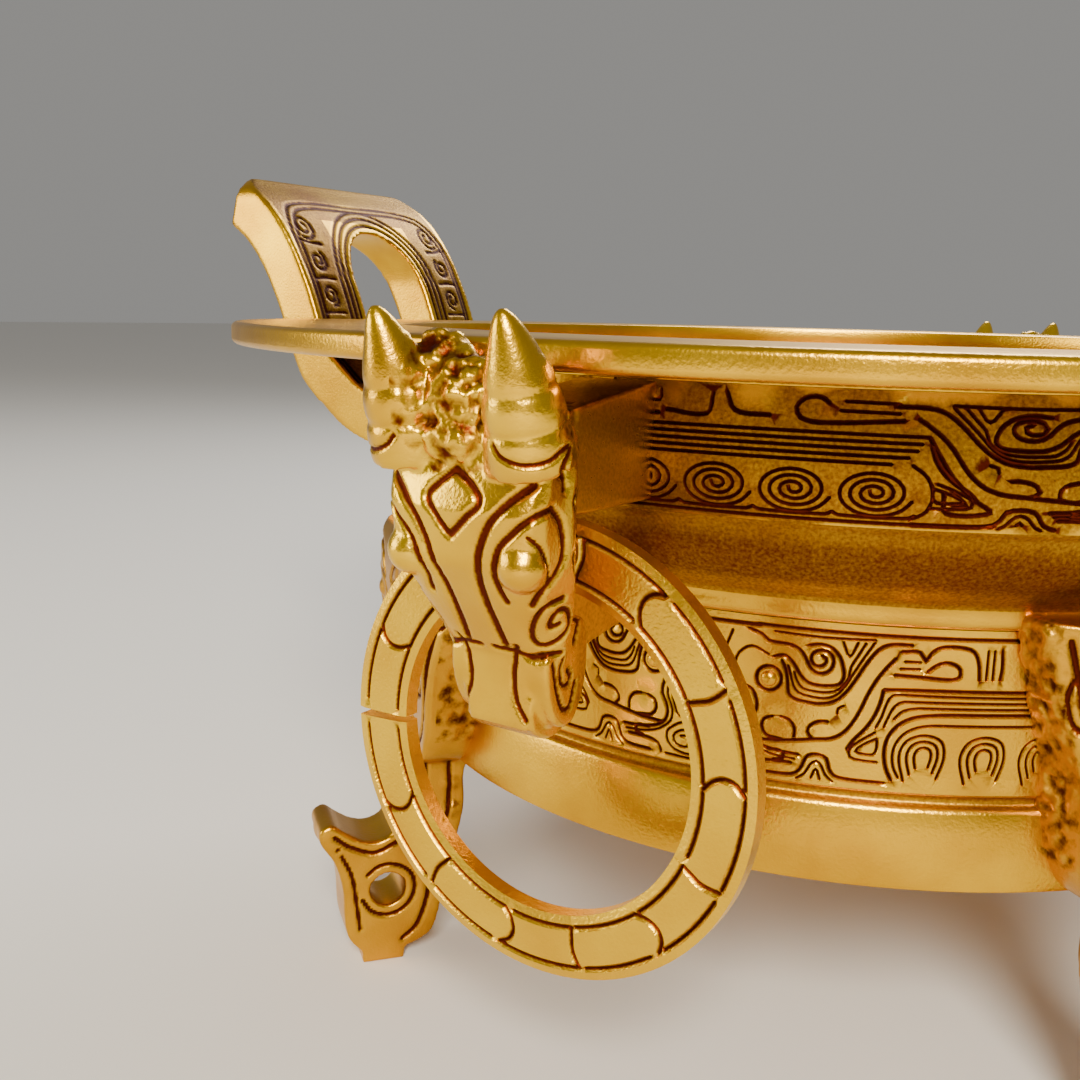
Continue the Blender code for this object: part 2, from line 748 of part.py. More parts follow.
def clear_height():
    """The height from the floor to the skirt's lower edge."""
    return RIM_HEIGHT - SKIRT_BOTTOM


def leg_side_outline():
    """Side view of a leg: mask on the foot's wall, shank, and a curled foot on a pad."""
    wall = FOOT_RADIUS
    mask = SKIRT_BOTTOM - FOOT_TOP
    outline = [at(wall - LEG_ROOT, FOOT_TOP + LIP_ROUND)]
    for out, down in LEG_MASK_SHAPE:
        outline.append(at(wall + LEG_PROUD * out, FOOT_TOP + LIP_ROUND + mask * down))
    outline += [(wall + LEG_REACH * out, clear_height() * up) for out, up in LEG_FRONT_SHAPE]
    outline += [(PAD_OUT, PAD_HEIGHT), (PAD_OUT, 0.0), (PAD_IN, 0.0), (PAD_IN, PAD_HEIGHT)]
    outline += [(wall + LEG_REACH * out, clear_height() * up) for out, up in LEG_BACK_SHAPE]
    outline.append(at(wall - LEG_ROOT, SKIRT_BOTTOM + LIP_ROUND))
    return outline


def leg_front_outline():
    """Front view of a leg: a broad mask with its jaw on the skirt, a narrow shank and foot."""
    mask = SKIRT_BOTTOM - FOOT_TOP
    right = [(LEG_HALF_WIDTH * wide, RIM_HEIGHT - FOOT_TOP - mask * down) for down, wide in LEG_MASK_WIDTHS]
    right += [(LEG_SHANK_HALF * wide, clear_height() * up) for up, wide in LEG_SHANK_WIDTHS]
    right += [(LEG_FOOT_HALF, clear_height() * LEG_FOOT_RISE), (LEG_FOOT_HALF, -FIT_GAP)]
    return right + [(-half, z) for half, z in reversed(right)]


def leg_plan_outline():
    """Top view of a leg: the mask bends back with the foot's wall."""
    reach = FOOT_RADIUS + LEG_REACH + FIT_GAP
    right = [(reach, -LEG_FOOT_HALF), (reach, LEG_FOOT_HALF)]
    curve = [
        (FOOT_RADIUS + LEG_PROUD * out - LEG_ROOT * wide * wide, LEG_HALF_WIDTH * wide)
        for out, wide in reversed(LEG_PLAN_SHAPE)
        if LEG_HALF_WIDTH * wide > LEG_FOOT_HALF
    ]
    root = FOOT_RADIUS - 2 * LEG_ROOT - FOOT_GROOVE
    left = [(r, -y) for r, y in reversed(curve)]
    return right + curve + [(root, LEG_HALF_WIDTH), (root, -LEG_HALF_WIDTH)] + left


def make_leg(name, turn, cutter, collection, scratch, material):
    """A leg: what its side, front and top views share, with a hole through the foot."""
    leg = side_block(name, leg_side_outline(), LEG_HALF_WIDTH, collection)
    front = prism(
        "leg_front", leg_front_outline(), 0.0, RIM_RADIUS,
        lambda y, z, r: Vector((r, y, z)), scratch)
    top = prism(
        "leg_top", leg_plan_outline(), -FIT_GAP, RIM_HEIGHT,
        lambda r, y, z: Vector((r, y, z)), scratch)
    combine(leg, [front, top], "INTERSECT")
    centre = (FOOT_RADIUS + LEG_REACH * LEG_HOLE_SHAPE[0], clear_height() * LEG_HOLE_SHAPE[1])
    hole = round_outline(centre, LEG_HOLE_RADIUS, LEG_HOLE_SIDES)
    combine(leg, [side_block("leg_hole", hole, LEG_HALF_WIDTH, scratch)], "DIFFERENCE")
    bosses = []
    face = FOOT_RADIUS + LEG_PROUD
    for sign in (1, -1):
        eye = Vector((face - LEG_EYE_SEAT, sign * LEG_EYE_SPREAD, RIM_HEIGHT - FOOT_TOP - LEG_EYE_DROP))
        bosses.append(ball("leg_eye", eye, (LEG_EYE_RADIUS,) * 3, 6, scratch))
    snout = Vector((face - LEG_SNOUT_SEAT, 0.0, RIM_HEIGHT - FOOT_TOP - LEG_SNOUT_DROP))
    bosses.append(ball("leg_snout", snout, LEG_SNOUT_RADII, 6, scratch))
    combine(leg, bosses)
    boolean(leg, cutter, "DIFFERENCE")
    finish_piece(leg, turn, material)
    return leg


def main():
    clear_scene()
    parts = make_collection(OBJECT_NAME)
    scratch = make_collection("cutters")
    gold = make_material("gilt_bronze", GOLD, 0.34)
    ring_gold = make_material("gilt_bronze_ring", RING_GOLD, 0.38)
    dark_gold = make_material("gilt_bronze_worn", DARK_GOLD, 0.42)

    cutter = basin_cutter(scratch)
    make_basin(parts, scratch, gold)
    for name, turn in (("ear_right", 0.0), ("ear_left", math.pi)):
        make_ear(name, turn, cutter, parts, scratch, dark_gold)
    axis_radius, axis_height = ring_axis()
    for side, turn in (("front", -math.pi / 2), ("back", math.pi / 2)):
        make_head("beast_head_" + side, turn, cutter, parts, scratch, gold)
        hinge = bpy.data.objects.new("hinge_" + side, None)
        parts.objects.link(hinge)
        hinge.location = (axis_radius * math.cos(turn), axis_radius * math.sin(turn), axis_height)
        hinge.rotation_euler = (0.0, 0.0, turn)
        make_ring("ring_" + side, hinge, parts, ring_gold)
    corners = ("back_right", "back_left", "front_left", "front_right")
    for index, corner in enumerate(corners):
        turn = math.pi / 4 + FOOT_TURN + index * math.pi / 2
        make_leg("leg_" + corner, turn, cutter, parts, scratch, dark_gold)


main()
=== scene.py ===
# %% [markdown]
# # A gilt bronze basin with beast heads and rings
#
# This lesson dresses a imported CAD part. The solids give the frame: where each
# piece is, how big it is and what moves. Each cell makes one finer piece of the
# real object and says which solid it stands for.
#
# The heights in the traced lines count with the rim at 142 mm. The rim of the
# finished basin is at 131 mm, so every piece is lowered by `LOWER` as it is
# placed. The legs and the foot's pattern stand `LEG_TURN` degrees past the
# diagonals.

# %% Set-up
import math

import bmesh
import bpy
import numpy as np
from mathutils import Matrix, Vector, noise
from mathutils.bvhtree import BVHTree
from mathutils.geometry import delaunay_2d_cdt


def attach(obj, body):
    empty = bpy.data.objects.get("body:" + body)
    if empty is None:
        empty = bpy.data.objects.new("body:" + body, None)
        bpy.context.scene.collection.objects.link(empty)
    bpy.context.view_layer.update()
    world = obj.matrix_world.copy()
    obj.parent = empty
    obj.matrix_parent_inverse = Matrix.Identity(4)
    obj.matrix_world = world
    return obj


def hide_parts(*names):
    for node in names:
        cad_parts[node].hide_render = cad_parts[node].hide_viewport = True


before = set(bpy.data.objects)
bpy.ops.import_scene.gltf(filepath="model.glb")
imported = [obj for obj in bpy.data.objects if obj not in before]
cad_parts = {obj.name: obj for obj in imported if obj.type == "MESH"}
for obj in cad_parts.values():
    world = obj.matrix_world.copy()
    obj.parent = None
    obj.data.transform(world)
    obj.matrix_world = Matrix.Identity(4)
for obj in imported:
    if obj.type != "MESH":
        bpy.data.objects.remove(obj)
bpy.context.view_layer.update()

MM = 0.001
RIM_Z = 142.0
LOWER = 11.0
LEG_TURN = 7.6

# %% [markdown]
# ## Lines and relief
#
# The patterns are engraved lines. A line is a list of points in millimetres,
# made smooth, with a half width and a depth. `line_field` says how deep the
# lines cut at each point and how dark the patina and painted shade that lie
# in them are.

# %% Smooth lines
POINTS_A_TURN = 14


def smooth(points, closed=False, step=0.8):
    """A smooth line through the points, with tangents that suit uneven spacing."""
    pts = np.array(points, float)
    count = len(pts)
    gaps = np.linalg.norm(np.roll(pts, -1, axis=0) - pts, axis=1)
    tangents = np.zeros_like(pts)
    for i in range(count):
        before, after = (i - 1) % count, (i + 1) % count
        if not closed and i == 0:
            tangents[i] = (pts[1] - pts[0]) / gaps[0]
        elif not closed and i == count - 1:
            tangents[i] = (pts[-1] - pts[-2]) / gaps[-2]
        else:
            tangents[i] = (pts[after] - pts[before]) / (gaps[before] + gaps[i])
    out = []
    for i in range(count if closed else count - 1):
        j = (i + 1) % count
        for t in np.arange(0.0, 1.0, 1.0 / max(1, math.ceil(gaps[i] / step))):
            t2, t3 = t * t, t * t * t
            out.append((2 * t3 - 3 * t2 + 1) * pts[i] + (t3 - 2 * t2 + t) * gaps[i] * tangents[i]
                       + (3 * t2 - 2 * t3) * pts[j] + (t3 - t2) * gaps[i] * tangents[j])
    out.append(out[0] if closed else pts[-1])
    return np.array(out)


def spiral(centre, inner, outer, first_deg, turns, squash=1.0):
    """Points of a spiral from the inside out; negative turns run clockwise."""
    count = max(6, int(abs(turns) * POINTS_A_TURN))
    share = np.linspace(0.0, 1.0, count)
    angle = math.radians(first_deg) + 2 * math.pi * turns * share
    reach = inner + (outer - inner) * share
    return [(centre[0] + r * math.cos(a), centre[1] + squash * r * math.sin(a))
            for r, a in zip(reach, angle)]


def mirrored(lines, axis):
    """The same lines on the other side of an upright axis."""
    return [([(2 * axis - s, z) for s, z in pts], half, deep) for pts, half, deep in lines]


# %% Depth of the lines at a set of points
def line_field(points, lines, power=1.0):
    """How deep the lines cut at each point, and how near a line's middle it is (0 to 1)."""
    depth = np.zeros(len(points))
    near = np.zeros(len(points))
    for line, half, deep in lines:
        low, high = line.min(axis=0) - half, line.max(axis=0) + half
        chosen = np.nonzero(np.all((points > low) & (points < high), axis=1))[0]
        if not len(chosen):
            continue
        start, seg = line[:-1], line[1:] - line[:-1]
        length2 = np.maximum((seg ** 2).sum(axis=1), 1e-12)
        gap = points[chosen][:, None, :] - start[None, :, :]
        t = np.clip((gap * seg[None]).sum(axis=2) / length2, 0.0, 1.0)
        away = np.linalg.norm(gap - t[..., None] * seg[None], axis=2).min(axis=1)
        share = np.clip(1.0 - away / half, 0.0, 1.0)
        depth[chosen] = np.maximum(depth[chosen], deep * share ** power)
        near[chosen] = np.maximum(near[chosen], share)
    return depth, near


# %% [markdown]
# ## An engraved sheet
#
# A flat sheet is cut into triangles so that a row of points runs down the middle
# of every line and along both its edges. The grooves stay sharp and the plain
# parts stay light. The sheet is then bent on to the wall it belongs to.

# %% Sheets
END_REACH = 0.3


def beside(line, distance):
    """The line beside a line."""
    along = np.gradient(line, axis=0)
    along /= np.maximum(np.linalg.norm(along, axis=1, keepdims=True), 1e-9)
    return line + distance * np.column_stack((-along[:, 1], along[:, 0]))


def inside_runs(line, low, high):
    """The parts of a line that lie inside a box."""
    keep = np.all((line > low) & (line < high), axis=1)
    runs, run = [], []
    for point, kept in zip(line, keep):
        if kept:
            run.append(point)
        elif run:
            runs.append(np.array(run))
            run = []
    if run:
        runs.append(np.array(run))
    return [r for r in runs if len(r) > 1]


def engraved_sheet(low, high, lines, spacing, margin=0.25):
    """A flat sheet's points, triangles, depth, nearness to a line and border in order."""
    low, high = np.array(low, float), np.array(high, float)
    cut = []
    for line, half, deep in lines:
        for run in inside_runs(line, low + half + margin, high - half - margin):
            cut.append((run, half, deep))
    points, edges = [], []

    def add(row, closed=False):
        first = len(points)
        points.extend(Vector(p) for p in row)
        edges.extend((first + i, first + i + 1) for i in range(len(row) - 1))
        if closed:
            edges.append((first + len(row) - 1, first))

    cells = np.maximum(np.ceil((high - low) / spacing).astype(int), 1)
    us = np.linspace(low[0], high[0], cells[0] + 1)
    vs = np.linspace(low[1], high[1], cells[1] + 1)
    border = [(u, low[1]) for u in us] + [(high[0], v) for v in vs[1:]]
    border += [(u, high[1]) for u in us[-2::-1]] + [(low[0], v) for v in vs[-2:0:-1]]
    add(border, closed=True)
    points.extend(Vector((u, v)) for u in us[1:-1] for v in vs[1:-1])
    for run, half, deep in cut:
        before = run[:1] - (run[1:2] - run[:1]) * END_REACH
        after = run[-1:] + (run[-1:] - run[-2:-1]) * END_REACH
        add(run)
        edge = (before, beside(run, half), after, beside(run, -half)[::-1])
        add(np.concatenate(edge), closed=True)
    flat, _, faces, _, _, _ = delaunay_2d_cdt(points, edges, [], 0, 1e-4)
    flat = np.array([tuple(p) for p in flat])
    depth, near = line_field(flat, cut)
    order = [int(np.argmin((flat[:, 0] - u) ** 2 + (flat[:, 1] - v) ** 2)) for u, v in border]
    return flat, [tuple(f) for f in faces], depth, near, order


class Mesh:
    """Collects the parts of one piece in mm: points, faces and the patina and painted shade of each
    point.
    """

    def __init__(self):
        self.points, self.faces, self.wash, self.count = [], [], [], 0

    def add(self, points, faces, wash=0.0):
        points = np.asarray(points, float)
        self.points.append(points)
        self.wash.append(np.broadcast_to(np.asarray(wash, float), (len(points),)))
        self.faces.extend(tuple(i + self.count for i in f) for f in faces)
        self.count += len(points)

    def sheet(self, flat, faces, depth, near, order, place, back=1.2, band_shade=0.0):
        """An engraved sheet bent by place(u, v, height), with a skirt let into the wall."""
        # Patina and painted shade in the lines, and painted shade over the whole band.
        self.add(place(flat[:, 0], flat[:, 1], -depth), faces, np.clip(near * 1.15 + band_shade, 0, 1))
        rim = flat[order]
        n = len(order)
        front = place(rim[:, 0], rim[:, 1], np.zeros(n))
        behind = place(rim[:, 0], rim[:, 1], np.full(n, -back))
        quads = [(i, (i + 1) % n, n + (i + 1) % n, n + i) for i in range(n)]
        self.add(np.concatenate((front, behind)), quads)

    def build(self, name, weld=0.004):
        mesh = bpy.data.meshes.new(name)
        mesh.from_pydata((np.concatenate(self.points) * MM).tolist(), [], self.faces)
        # Each point's red-brown patina and painted shade, kept for the material.
        wash = mesh.attributes.new("wash", "FLOAT", "POINT")
        wash.data.foreach_set("value", np.concatenate(self.wash).astype(np.float32))
        bm = bmesh.new()
        bm.from_mesh(mesh)
        bmesh.ops.remove_doubles(bm, verts=bm.verts, dist=weld * MM)
        bmesh.ops.dissolve_degenerate(bm, dist=0.0005 * MM, edges=bm.edges)
        bmesh.ops.recalc_face_normals(bm, faces=bm.faces)
        bm.to_mesh(mesh)
        bm.free()
        return mesh


def placed(name, data):
    """A new object in the scene."""
    obj = bpy.data.objects.new(name, data)
    bpy.context.scene.collection.objects.link(obj)
    return obj


def piece(name, mesh, body, nodes, material, sharp_deg=38.0):
    """Puts a finished mesh on its CAD body in place of its CAD node."""
    mesh.transform(Matrix.Translation((0.0, 0.0, -LOWER * MM)))
    mesh.shade_smooth()
    mesh.set_sharp_from_angle(angle=math.radians(sharp_deg))
    obj = placed(name, mesh)
    mesh.materials.clear()
    mesh.materials.append(material)
    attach(obj, body)
    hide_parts(*nodes)
    mesh.calc_loop_triangles()
    print(f"{name}: {len(mesh.loop_triangles)} triangles")


def repeated(mesh, name, turns, bodies, material, sharp_deg=180.0):
    """Places one casting several times, turned about the basin's axis."""
    for (place, turn), body in zip(turns.items(), bodies):
        copy = mesh.copy()
        copy.transform(Matrix.Rotation(math.radians(turn), 4, "Z"))
        cad_node = name + "_" + place
        piece(cad_node + "_body", copy, body, [cad_node], material, sharp_deg)


# %% [markdown]
# ## Gilt bronze
#
# One metal, painted gold, with a red-brown patina and painted shade. These lie
# where the mesh's point attribute says: patina and painted shade in the grooves,
# painted shade under and between the parts. The rest is gold that varies slowly
# in tone, with the fine grain of a cast and gilded surface. Scales are in real
# millimetres.

# %% Materials
def colour(hex_text):
    """An sRGB hex colour as linear RGBA."""
    parts = [int(hex_text[i:i + 2], 16) / 255 for i in (1, 3, 5)]
    linear = [p / 12.92 if p <= 0.04045 else ((p + 0.055) / 1.055) ** 2.4 for p in parts]
    return (*linear, 1.0)


def node(tree, kind, fed=None, **values):
    """Adds a node, sets its properties and inputs, and feeds inputs with links or values."""
    made = tree.nodes.new(kind)
    for key, value in values.items():
        if hasattr(made, key):
            setattr(made, key, value)
        else:
            made.inputs[key.replace("_", " ")].default_value = value
    for key, source in (fed or {}).items():
        if isinstance(source, bpy.types.NodeSocket):
            tree.links.new(source, made.inputs[key])
        else:
            made.inputs[key].default_value = source
    return made


PATCH_SIZE, PATCH_SPREAD = 18, 0.35
GRAIN_SIZE, SPECKLE = 0.55, 0.34
# Where the patina and painted shade begin and are full, and how much rougher they make the metal.
PATINA_SHADE_FROM, PATINA_SHADE_FULL, PATINA_SHADE_DULL = 0.14, 0.74, 0.22


def gilt(name, bright, deep, wash, rough, grain=0.06):
    """Gold on bronze: bright and deep gold in slow patches, red-brown patina and painted shade
    where the mesh asks, grain.
    """
    material = bpy.data.materials.new(name)
    material.use_nodes = True
    tree = material.node_tree
    shader = tree.nodes["Principled BSDF"]
    where = {"Vector": node(tree, "ShaderNodeTexCoord").outputs["Object"]}
    washed = node(tree, "ShaderNodeAttribute", attribute_name="wash").outputs["Fac"]
    slow = node(tree, "ShaderNodeTexNoise", where, Scale=1 / (PATCH_SIZE * MM), Detail=3.0)
    fine = node(tree, "ShaderNodeTexNoise", where, Scale=1 / (GRAIN_SIZE * MM), Detail=2.0)
    toned = node(tree, "ShaderNodeMapRange", {"Value": slow.outputs["Fac"]},
                 From_Min=0.5 - PATCH_SPREAD, From_Max=0.5 + PATCH_SPREAD)
    gold = node(tree, "ShaderNodeMix", {"Factor": toned.outputs["Result"], 6: colour(deep),
                                        7: colour(bright)}, data_type="RGBA")
    speck = node(tree, "ShaderNodeMath", {0: fine.outputs["Fac"], 1: SPECKLE, 2: -SPECKLE / 2},
                 operation="MULTIPLY_ADD")
    edge = node(tree, "ShaderNodeMath", {0: washed, 1: speck.outputs[0]}, operation="ADD")
    held = node(tree, "ShaderNodeMapRange", {"Value": edge.outputs[0]},
                interpolation_type="SMOOTHSTEP", From_Min=PATINA_SHADE_FROM, From_Max=PATINA_SHADE_FULL)
    # Red-brown patina and painted shade in the grooves, painted shade under and between the parts,
    # mixed over the gold.
    final = node(tree, "ShaderNodeMix", {"Factor": held.outputs["Result"], 6: gold.outputs[2],
                                         7: colour(wash)}, data_type="RGBA")
    tree.links.new(final.outputs[2], shader.inputs["Base Color"])
    dull = node(tree, "ShaderNodeMath", {0: held.outputs["Result"], 1: PATINA_SHADE_DULL, 2: rough},
                operation="MULTIPLY_ADD")
    tree.links.new(dull.outputs[0], shader.inputs["Roughness"])
    shader.inputs["Metallic"].default_value = 1.0
    grains = node(tree, "ShaderNodeBump", {"Height": fine.outputs["Fac"]}, Strength=1.0,
                  Distance=grain * MM)
    tree.links.new(grains.outputs["Normal"], shader.inputs["Normal"])
    return material


# The last colour of each is the red-brown of its patina and painted shade.
gold_basin = gilt("gilt_bronze_basin", "#F7C51E", "#C08410", "#5C1C08", 0.28)
gold_ears = gilt("gilt_bronze_ears", "#F8C71E", "#B87A10", "#421406", 0.30)
gold_heads = gilt("gilt_bronze_heads", "#FCCF22", "#D09412", "#5C1E08", 0.26)
gold_legs = gilt("gilt_bronze_legs", "#EDB520", "#A86A10", "#4E1806", 0.31)
gold_rings = gilt("gilt_bronze_rings", "#FFD324", "#D39A14", "#5C1E08", 0.31, grain=0.11)

# %% [markdown]
# ## The pattern
#
# These lines were traced on the ring foot: length along the wall from
# the middle of the front, and height with the rim at 142, in millimetres. They
# make half of a mask with its dragon's body: nose, eye, neck curl, S-shaped
# ribbons and nested arches. The other half is its mirror image. `WIDE` and
# `THIN` are a line's half width and its depth.

# %% Traced lines of the foot's pattern
MASK_AXIS = 12.2
WIDE, THIN = (0.46, 0.50), (0.33, 0.36)
body_lines = [
    ([(18.4, 96.6), (20.5, 95.9), (21.6, 95), (23, 94.8), (25, 94.7), (26.5, 94.1), (27.5, 92.9),
      (28.2, 91.5), (29.2, 90.6), (30.3, 90.5), (31.5, 91.2), (31.9, 92.6), (31.4, 93.8),
      (30.1, 94.3), (28.8, 93.8), (28.4, 92.8), (28.8, 91.9), (29.7, 91.6), (30.6, 92.1),
      (30.7, 93), (30, 93.4)], *WIDE),
    ([(28, 94.9), (29.8, 95.2), (31.6, 94.7), (32.8, 93.4), (33.4, 91.8), (33.6, 90.2), (33, 89),
      (31.5, 88.6), (29.8, 88.5), (28.2, 88.8), (26.9, 89.9), (25.8, 91.6), (24.4, 92.8),
      (22.6, 92.5)], *WIDE),
    ([(23.9, 92), (24.6, 90.4), (25, 88.4), (25.2, 86.7), (26.2, 85.9), (28, 85.6), (30, 85.5),
      (32.3, 86.1), (34, 87.7), (35.4, 89.9), (36.6, 92.2), (38, 94.4), (39.2, 95.6), (41, 96.1),
      (43.6, 96.1)], *WIDE),
    ([(24.9, 91.3), (25.4, 89.8), (25.9, 88.1), (26.8, 87), (28.5, 86.6), (30.8, 86.5),
      (32.6, 87.2), (33.9, 88.8), (35, 90.9), (36.2, 93.2), (37.3, 95.1), (37.9, 96.2)], *THIN),
    ([(25.9, 90.4), (26.4, 89), (27.4, 87.8), (29, 87.5), (31, 87.5), (32.8, 88.1), (34.2, 89.8),
      (34.6, 92), (35.6, 94), (36.6, 96)], *THIN), ([(33.1, 96), (34.3, 93.7), (35.4, 96)], *THIN),
    ([(41.3, 93.9), (40, 92.3), (38.5, 90), (37.4, 87.6), (36.6, 85.4), (35.6, 83.2), (34.2, 81.2),
      (32.3, 80), (29.8, 79.6), (27, 79.1), (23.5, 78.6), (20, 78.4)], *WIDE),
    ([(39.8, 88.7), (39.4, 86.4), (38.5, 83.9), (37.2, 81.8), (35.7, 80), (34.9, 78.5)], *WIDE),
    ([(24.2, 82.7), (25.6, 82.3), (26.5, 81.1), (26.5, 79.6)], *WIDE),
    ([(31.7, 82.7), (30.2, 82.6), (29, 81.8), (28.6, 80.7), (29.2, 79.9)], *WIDE),
    ([(33, 84.1), (33.1, 85.1), (34, 85.6)], *THIN),
    ([(22, 73.1), (26.5, 73.3), (27.8, 74.2), (28.4, 75.8), (29, 76.8), (30.4, 77.1), (31.8, 76.6),
      (32.3, 75), (33.1, 73.9), (35, 73.5), (41, 73.4)], *WIDE),
    ([(27.3, 72.7), (28.6, 73.7), (29.4, 75.3), (30.3, 76), (31.1, 75.3), (31.8, 73.9),
      (33, 72.8)], *THIN), ([(29.6, 73), (30.3, 74.7), (31, 73)], *THIN),
    ([(22.5, 77), (24.7, 76.9), (25, 75.8), (23.6, 75.4)], *WIDE),
    ([(39, 81.7), (36.8, 80.1), (35.3, 78.6), (35.4, 77.3), (37, 76.9), (39.6, 76.8)], *THIN),
    ([(39.3, 80.7), (37.3, 79.5), (36.2, 78.3), (38.9, 78), (39.4, 79.2), (39.3, 80.7)], *THIN),
    ([(39.8, 88.7), (44, 88.9), (52, 89), (82, 89)], *WIDE),
    ([(39, 82.4), (39.8, 84.3), (40.4, 86.5), (41.2, 87.9), (44, 88.1), (82, 88.1)], *THIN),
    ([(40.2, 82.6), (40.8, 84.3), (41.6, 86.1), (43, 87), (82, 87.2)], *THIN),
    ([(41.6, 84), (43, 85.5), (46, 86.1), (82, 86.3)], *THIN),
    ([(42, 73.9), (41, 76), (40.6, 78.6), (41, 81), (42.3, 83), (44.3, 84.3), (47, 84.9),
      (52, 85.2), (82, 85.4)], *WIDE),
    ([(43, 74.5), (42.1, 76.3), (41.9, 78.6), (42.5, 80.6), (43.9, 82.2), (46, 83.1), (49, 83.4),
      (82, 83.6)], *THIN),
    ([(41.2, 91.2), (45, 91.1), (50, 90.9), (51.1, 91.4), (51.1, 92.6), (50.3, 93.3), (48.8, 93.6),
      (47.3, 93), (46.2, 92)], *WIDE),
    ([(42, 95), (44.8, 95.1), (45.8, 93.7), (46.5, 95), (48, 96), (51, 96.1), (53, 95.5),
      (53.9, 93.6), (54.2, 90.9)], *WIDE), ([(42, 92.3), (45, 92.4)], *THIN),
    ([(42.6, 93.5), (45, 93.5)], *THIN), ([(55.2, 95.8), (55.2, 91)], *THIN),
    ([(56.2, 95.8), (56.2, 91)], *THIN), ([(57.4, 95.8), (57.6, 93), (57.4, 91)], *WIDE),
    ([(20, 97.5), (36, 97.4), (58, 97.4), (82, 97.4)], *WIDE),
    ([(22.5, 96.6), (30, 96.4), (38, 96.6)], *THIN)]
ARCH_Z = 78.0
for centre in (46.6, 56, 65.4, 74.8):
    for nested in range(3):
        width, height = 3.7 - 1.15 * nested, 4.3 - 1.15 * nested
        left = [(centre - width * across, ARCH_Z + height * up)
                for across, up in ((0.75, -0.95), (1, 0), (0.72, 0.62), (0, 0.86))]
        right = [
            (centre + width * 0.7, ARCH_Z + height * 0.66), (centre + width * 0.86, ARCH_Z + 0.2),
            (centre + width * 0.6, ARCH_Z - height * 0.8)]
        body_lines.append((left + right, *THIN))
face_lines = [
    ([(6.4, 87.2), (5, 86.6), (4.2, 85), (4.1, 83.4), (4.8, 82), (5.2, 80.5), (4.9, 79), (4, 78),
      (2, 77.2), (-1, 76.8), (-3, 76.7)], *WIDE),
    ([(6.6, 86.3), (5.4, 85.3), (5.1, 83.6), (5.7, 82), (6.1, 80.8), (5.9, 79), (4.8, 77.8),
      (3.4, 76.9), (1, 76.2), (-2.5, 75.9)], *THIN),
    ([(9.7, 80), (7.3, 80.1), (6.6, 81.4), (6, 83.6), (6.3, 85.2), (7.3, 86.1)], *THIN),
    ([(9.6, 80.9), (7.8, 81.1), (7.1, 82.3), (6.9, 83.9), (7.5, 85)], *THIN),
    ([(9.6, 81.9), (8.3, 82.1), (7.8, 83.1), (8, 84.1)], *THIN),
    ([(10, 79), (8, 79), (6.6, 78.2), (5.3, 76.9), (5.6, 75.2), (6.8, 74.1), (10, 73.9),
      (10.1, 77.6), (7.9, 77.6), (6.5, 76.4), (7.1, 75.1), (9.1, 75), (9.1, 76.7),
      (7.8, 76.6)], *THIN), ([(-2, 75.2), (2, 75.1), (3.7, 74.5), (4.3, 73.3)], *WIDE),
    ([(5.2, 73.1), (10.2, 73)], *THIN),
    ([(1.4, 82.6), (2.7, 82), (3.1, 80.7), (2.3, 79.3), (0, 78.9)], *WIDE),
    ([(4.3, 97.3), (20, 97.4)], *WIDE), ([(8.6, 96.1), (9.8, 92), (9.2, 88.6)], *THIN),
    ([(2.6, 92.7), (5.4, 93.8), (7.4, 92.4), (8, 90.2), (7.4, 88.4)], *THIN)]
EYE_S, EYE_HEIGHT = 2.4, 88.8
eye_ring = spiral((EYE_S, EYE_HEIGHT), 2, 2, 0, 1)
foot_half = body_lines + mirrored(face_lines + [(eye_ring, *WIDE)], MASK_AXIS)
foot_lines = foot_half + mirrored(foot_half, MASK_AXIS)
print(len(foot_lines), "lines on each quarter of the foot")

# %% [markdown]
# The belly carries the same body, stretched and turned the other way, with rows
# of oval spirals in place of the arches. Its lines were traced on a wall nearer
# the camera, so they are spread as the camera sees them on the real wall.

# %% Lines of the belly's pattern
BELLY_AXIS, SEEN_AXIS = 84.8, 85.2
CAMERA_OUT, CAMERA_ACROSS, CAMERA_UP = 262.3, 94.0, 145.55
SPREAD_ALONG, SPREAD_UP = 1.14, 1.11


def on_belly(s, z):
    """A point of the foot's pattern on the belly: turned over, stretched and flattened."""
    return (BELLY_AXIS - (s - MASK_AXIS) * 1.2, 119.0 + (z - 72.2) * 0.66)


